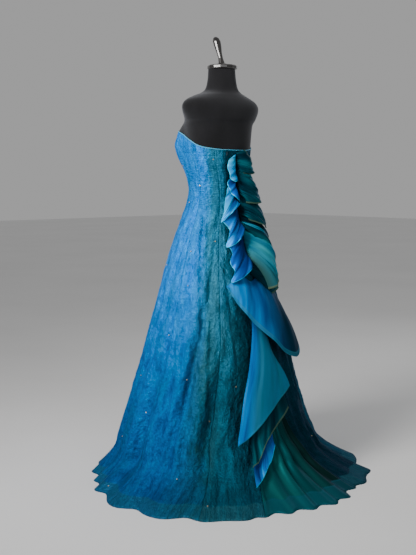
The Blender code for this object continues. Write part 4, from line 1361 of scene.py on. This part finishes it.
def binding():
    turns = np.arange(BINDING_STEPS) * 360 / BINDING_STEPS
    top = neckline_height(turns)
    centre = gown_point(turns, top - 0.0005) - gown_outward(turns, top) * (CLOTH / 2)
    side = level_direction(turns)
    up = np.array([0.0, 0.0, 1.0])
    ring = np.arange(BINDING_SIDES) * 2 * np.pi / BINDING_SIDES
    spokes = side[:, None] * np.cos(ring)[None, :, None] + up * np.sin(ring)[None, :, None]
    points = centre[:, None] + spokes * BINDING_RADIUS
    index = np.arange(points.shape[0] * BINDING_SIDES).reshape(-1, BINDING_SIDES)
    on, beside = np.roll(index, -1, axis=0), np.roll(index, -1, axis=1)
    faces = np.stack((index, beside, np.roll(on, -1, axis=1), on), -1).reshape(-1, 4)
    return faced_outwards(plain_mesh("neckline_binding", points.reshape(-1, 3), faces, BINDING))


made = binding()
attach(made, "root")
print("binding faces:", len(made.data.polygons))

# %% [markdown]
# ## The zip's pull
#
# The slider sits at the top of the placket when the gown is closed. Only its small drop-shaped
# pull shows: a flat plate with a hole, made as two outlines joined by a ring of faces.

# %% Building the pull
PULL_LENGTH, PULL_WIDTH, PULL_THICKNESS = 0.016, 0.0055, 0.0012
PULL_DROP = 0.006  # below the neckline
PULL_STAND = 0.0040
PULL_ROUNDING = 0.0003
PULL_ANGLE = (PLACKET_LEFT + PLACKET_RIGHT) / 2
PULL_METAL = plain_finish(
    "dark zip metal", ((300, 300, 120), 4), [(0.35, (0.03, 0.07, 0.09)), (0.7, (0.16, 0.22, 0.25))],
    gloss=[(0.3, 0.25), (0.7, 0.45)], Metallic=0.9,
)


def zip_pull():
    turn = np.linspace(0, 2 * np.pi, 32, endpoint=False)
    drop = 0.5 + 0.5 * ease((1 - np.sin(turn)) / 2)  # narrow above, wide below
    outline = np.stack([np.cos(turn) * PULL_WIDTH / 2 * drop, np.sin(turn) * PULL_LENGTH / 2], -1)
    hole = np.stack([np.cos(turn) * PULL_WIDTH / 7, np.sin(turn) * PULL_WIDTH / 5 - PULL_LENGTH / 4], -1)
    height = float(neckline_height(PULL_ANGLE)) - PULL_DROP - PULL_LENGTH / 2
    out = gown_outward(PULL_ANGLE, height)
    middle = gown_point(PULL_ANGLE, height) + out * PULL_STAND
    side = unit(np.cross(np.array([0.0, 0.0, 1.0]), out))
    up = np.cross(out, side)
    flat = np.concatenate([outline, hole])
    points = middle + flat[:, :1] * side + flat[:, 1:] * up
    count = len(turn)
    faces = [(k, (k + 1) % count, count + (k + 1) % count, count + k) for k in range(count)]
    pull = plain_mesh("zip_pull", points, faces, PULL_METAL, smooth=False)
    thick = pull.modifiers.new("thickness", "SOLIDIFY")
    thick.thickness, thick.offset = PULL_THICKNESS, 0.0
    rounding = pull.modifiers.new("rounded edges", "BEVEL")
    rounding.width, rounding.segments, rounding.limit_method = PULL_ROUNDING, 2, "ANGLE"
    return applied(pull)


made = zip_pull()
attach(made, "root")
print("pull faces:", len(made.data.polygons))

# %% [markdown]
# ## The dress form
#
# The form is smooth and whole: a velvet-covered torso with a turned cap and finial, on a steel
# pole and a round base. The torso is made again from finer rings, so that its outline is a curve.
# The cap, the pole and the base already have their right shapes and only get better materials.

# %% The form's materials


def velvet():
    made, tree, shader = new_material(
        "black velvet", Roughness=0.95, Sheen_Weight=0.35, Sheen_Roughness=0.45, Specular_IOR_Level=0.2
    )
    shader.inputs["Sheen Tint"].default_value = (0.7, 0.72, 0.78, 1)
    pile = even_noise(tree, 600, 2)
    brushed = even_noise(tree, (9, 9, 5), 3)
    tone = maths(tree, "ADD", maths(tree, "MULTIPLY", pile, 0.4), maths(tree, "MULTIPLY", brushed, 0.6))
    painted(tree, shader, tone, (0.35, (0.0035, 0.0035, 0.004)), (0.7, (0.012, 0.012, 0.014)))
    bumped(tree, shader, pile, 0.0004, 0.6)
    return made


def black_enamel():
    made, tree, shader = new_material("black enamel", Metallic=0.6, Specular_IOR_Level=0.5)
    specks = even_noise(tree, 240, 3)
    marks = even_noise(tree, 14, 4)
    painted(tree, shader, marks, (0.4, (0.012, 0.012, 0.013)), (0.75, (0.035, 0.035, 0.037)))
    painted(tree, shader, marks, (0.3, grey(0.28)), (0.75, grey(0.5)), socket="Roughness")
    bumped(tree, shader, specks, 0.0002, 0.35)
    return made


VELVET, ENAMEL = velvet(), black_enamel()
LACQUER = plain_finish(
    "black lacquer", ((55, 55, 6), 4), [(0.35, (0.006, 0.005, 0.005)), (0.7, (0.018, 0.016, 0.015))],
    gloss=[(0.3, 0.22), (0.7, 0.36)], relief=(0.0002, 0.3), Coat_Weight=0.6, Coat_Roughness=0.08,
)
for node, finish in (("form_neck_cap", LACQUER), ("form_pole", ENAMEL), ("form_base", ENAMEL)):
    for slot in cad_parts[node].material_slots:
        slot.material = finish

# %% The torso in finer rings
CLOTH_WALL = 0.002
FIT_GAP = 0.0014
FIT_SHARES = (0.0, 0.25, 0.5, 0.75)  # of the way down from the neckline to under the bust
UNDERBUST_HEIGHT = 1.20
FIT_HEIGHTS = (1.20, 1.155, 1.118, 1.082)
FORM_BELOW = [Section(*row) for row in (
    (0.860, 0.148, 0.105, 0.104, 0.000), (0.872, 0.160, 0.115, 0.112, 0.000),
    (0.930, 0.167, 0.122, 0.116, 0.000), (0.985, 0.150, 0.124, 0.103, 0.000),
    (1.040, 0.128, 0.120, 0.088, 0.000),
)]
FORM_ABOVE = [Section(*row) for row in (
    (1.350, 0.147, 0.118, 0.094, 0.020), (1.375, 0.162, 0.094, 0.100, 0.004),
    (1.402, 0.178, 0.082, 0.101, 0.000), (1.425, 0.182, 0.072, 0.098, 0.000),
    (1.445, 0.165, 0.062, 0.091, 0.000), (1.462, 0.126, 0.054, 0.082, 0.000),
    (1.476, 0.086, 0.047, 0.074, 0.000), (1.492, 0.066, 0.042, 0.069, 0.000),
    (1.525, 0.056, 0.038, 0.065, 0.000), (1.565, 0.052, 0.038, 0.062, 0.000),
)]
FORM_COLUMNS = 144
FINER = 6


def torso():
    angles = np.arange(FORM_COLUMNS) * 360 / FORM_COLUMNS
    top = neckline_height(angles)
    levels = [oval_point(FORM_BELOW, angles, row.height + 0 * angles) for row in FORM_BELOW]
    heights = [h + 0 * angles for h in reversed(FIT_HEIGHTS)]
    heights += [top + (UNDERBUST_HEIGHT - top) * share for share in reversed(FIT_SHARES)]
    for height in heights:
        inward = gown_outward(angles, height) * (CLOTH_WALL + FIT_GAP)
        levels.append(gown_point(angles, height) - inward)
    levels += [oval_point(FORM_ABOVE, angles, row.height + 0 * angles) for row in FORM_ABOVE]
    last = len(levels) - 1
    steps = np.linspace(0, last, last * FINER + 1)
    table = [(k, *ring.ravel()) for k, ring in enumerate(levels)]
    points = np.stack(smooth_table(table, steps), -1).reshape(len(steps), FORM_COLUMNS, 3)
    index = np.arange(len(steps) * FORM_COLUMNS).reshape(len(steps), FORM_COLUMNS)
    beside = np.roll(index, -1, axis=1)
    corners = (index[:-1], index[1:], beside[1:], beside[:-1])
    faces = [list(f) for f in np.stack(corners, -1).reshape(-1, 4)]
    faces += [list(index[0]), list(index[-1][::-1])]
    made = faced_outwards(plain_mesh("form_torso_cover", points.reshape(-1, 3), faces, VELVET))
    made.data.set_sharp_from_angle(angle=math.radians(50))
    return made


made = torso()
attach(made, "root")
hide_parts("form_torso")
print("torso faces:", len(made.data.polygons))

# %% [markdown]
# ## Floor and light
#
# A plain pale floor and soft lights, as in a studio. The main light is large and comes from the
# gown's left, so that the gores on that side are bright and the back falls into deep teal. A fill
# light from behind and a weak one from the far side keep the folds there from going black.

# %% Floor, world and lights
FLOOR_REACH = 20
WORLD_GREY, WORLD_STRENGTH = 0.90, 0.42


def studio_floor():
    pale = [(0.3, grey(0.76)), (0.7, grey(0.80))]
    finish = plain_finish("pale floor", (0.8, 3), pale, Roughness=0.8)
    half = FLOOR_REACH
    corners = [(-half, -half, 0), (half, -half, 0), (half, half, 0), (-half, half, 0)]
    ground = plain_mesh("studio_floor", corners, [(0, 1, 2, 3)], finish, smooth=False)
    return ground


def soft_light(name, degrees, distance, height, size, power, colour, aim=0.8, spread=180):
    """An area light on a bearing round from the front, aimed at a height on the gown."""
    data = bpy.data.lights.new(name, "AREA")
    data.shape, data.size, data.energy, data.color = "DISK", size, power, colour
    data.spread = math.radians(spread)
    made = bpy.data.objects.new(name, data)
    turn = math.radians(degrees)
    made.location = (math.sin(turn) * distance, -math.cos(turn) * distance, height)
    direction = Vector((0, 0, aim)) - made.location
    made.rotation_euler = direction.to_track_quat("-Z", "Y").to_euler()
    bpy.context.scene.collection.objects.link(made)


studio_floor()
soft_light(
    "main light", degrees=97, distance=2.6, height=2.3, size=1.3, power=38, colour=(1, 0.98, 0.96),
    aim=1.15, spread=95,
)
soft_light(
    "fill light", degrees=158, distance=4.2, height=2.1, size=2.2, power=26, colour=(0.95, 0.98, 1),
    aim=0.9,
)
soft_light(
    "far side light", degrees=280, distance=3.6, height=2.2, size=1.8, power=10,
    colour=(0.96, 0.98, 1),
)
world = bpy.data.worlds.new("studio")
world.use_nodes = True
sky = world.node_tree.nodes["Background"].inputs
sky["Color"].default_value = (*grey(WORLD_GREY), 1)
sky["Strength"].default_value = WORLD_STRENGTH
bpy.context.scene.world = world
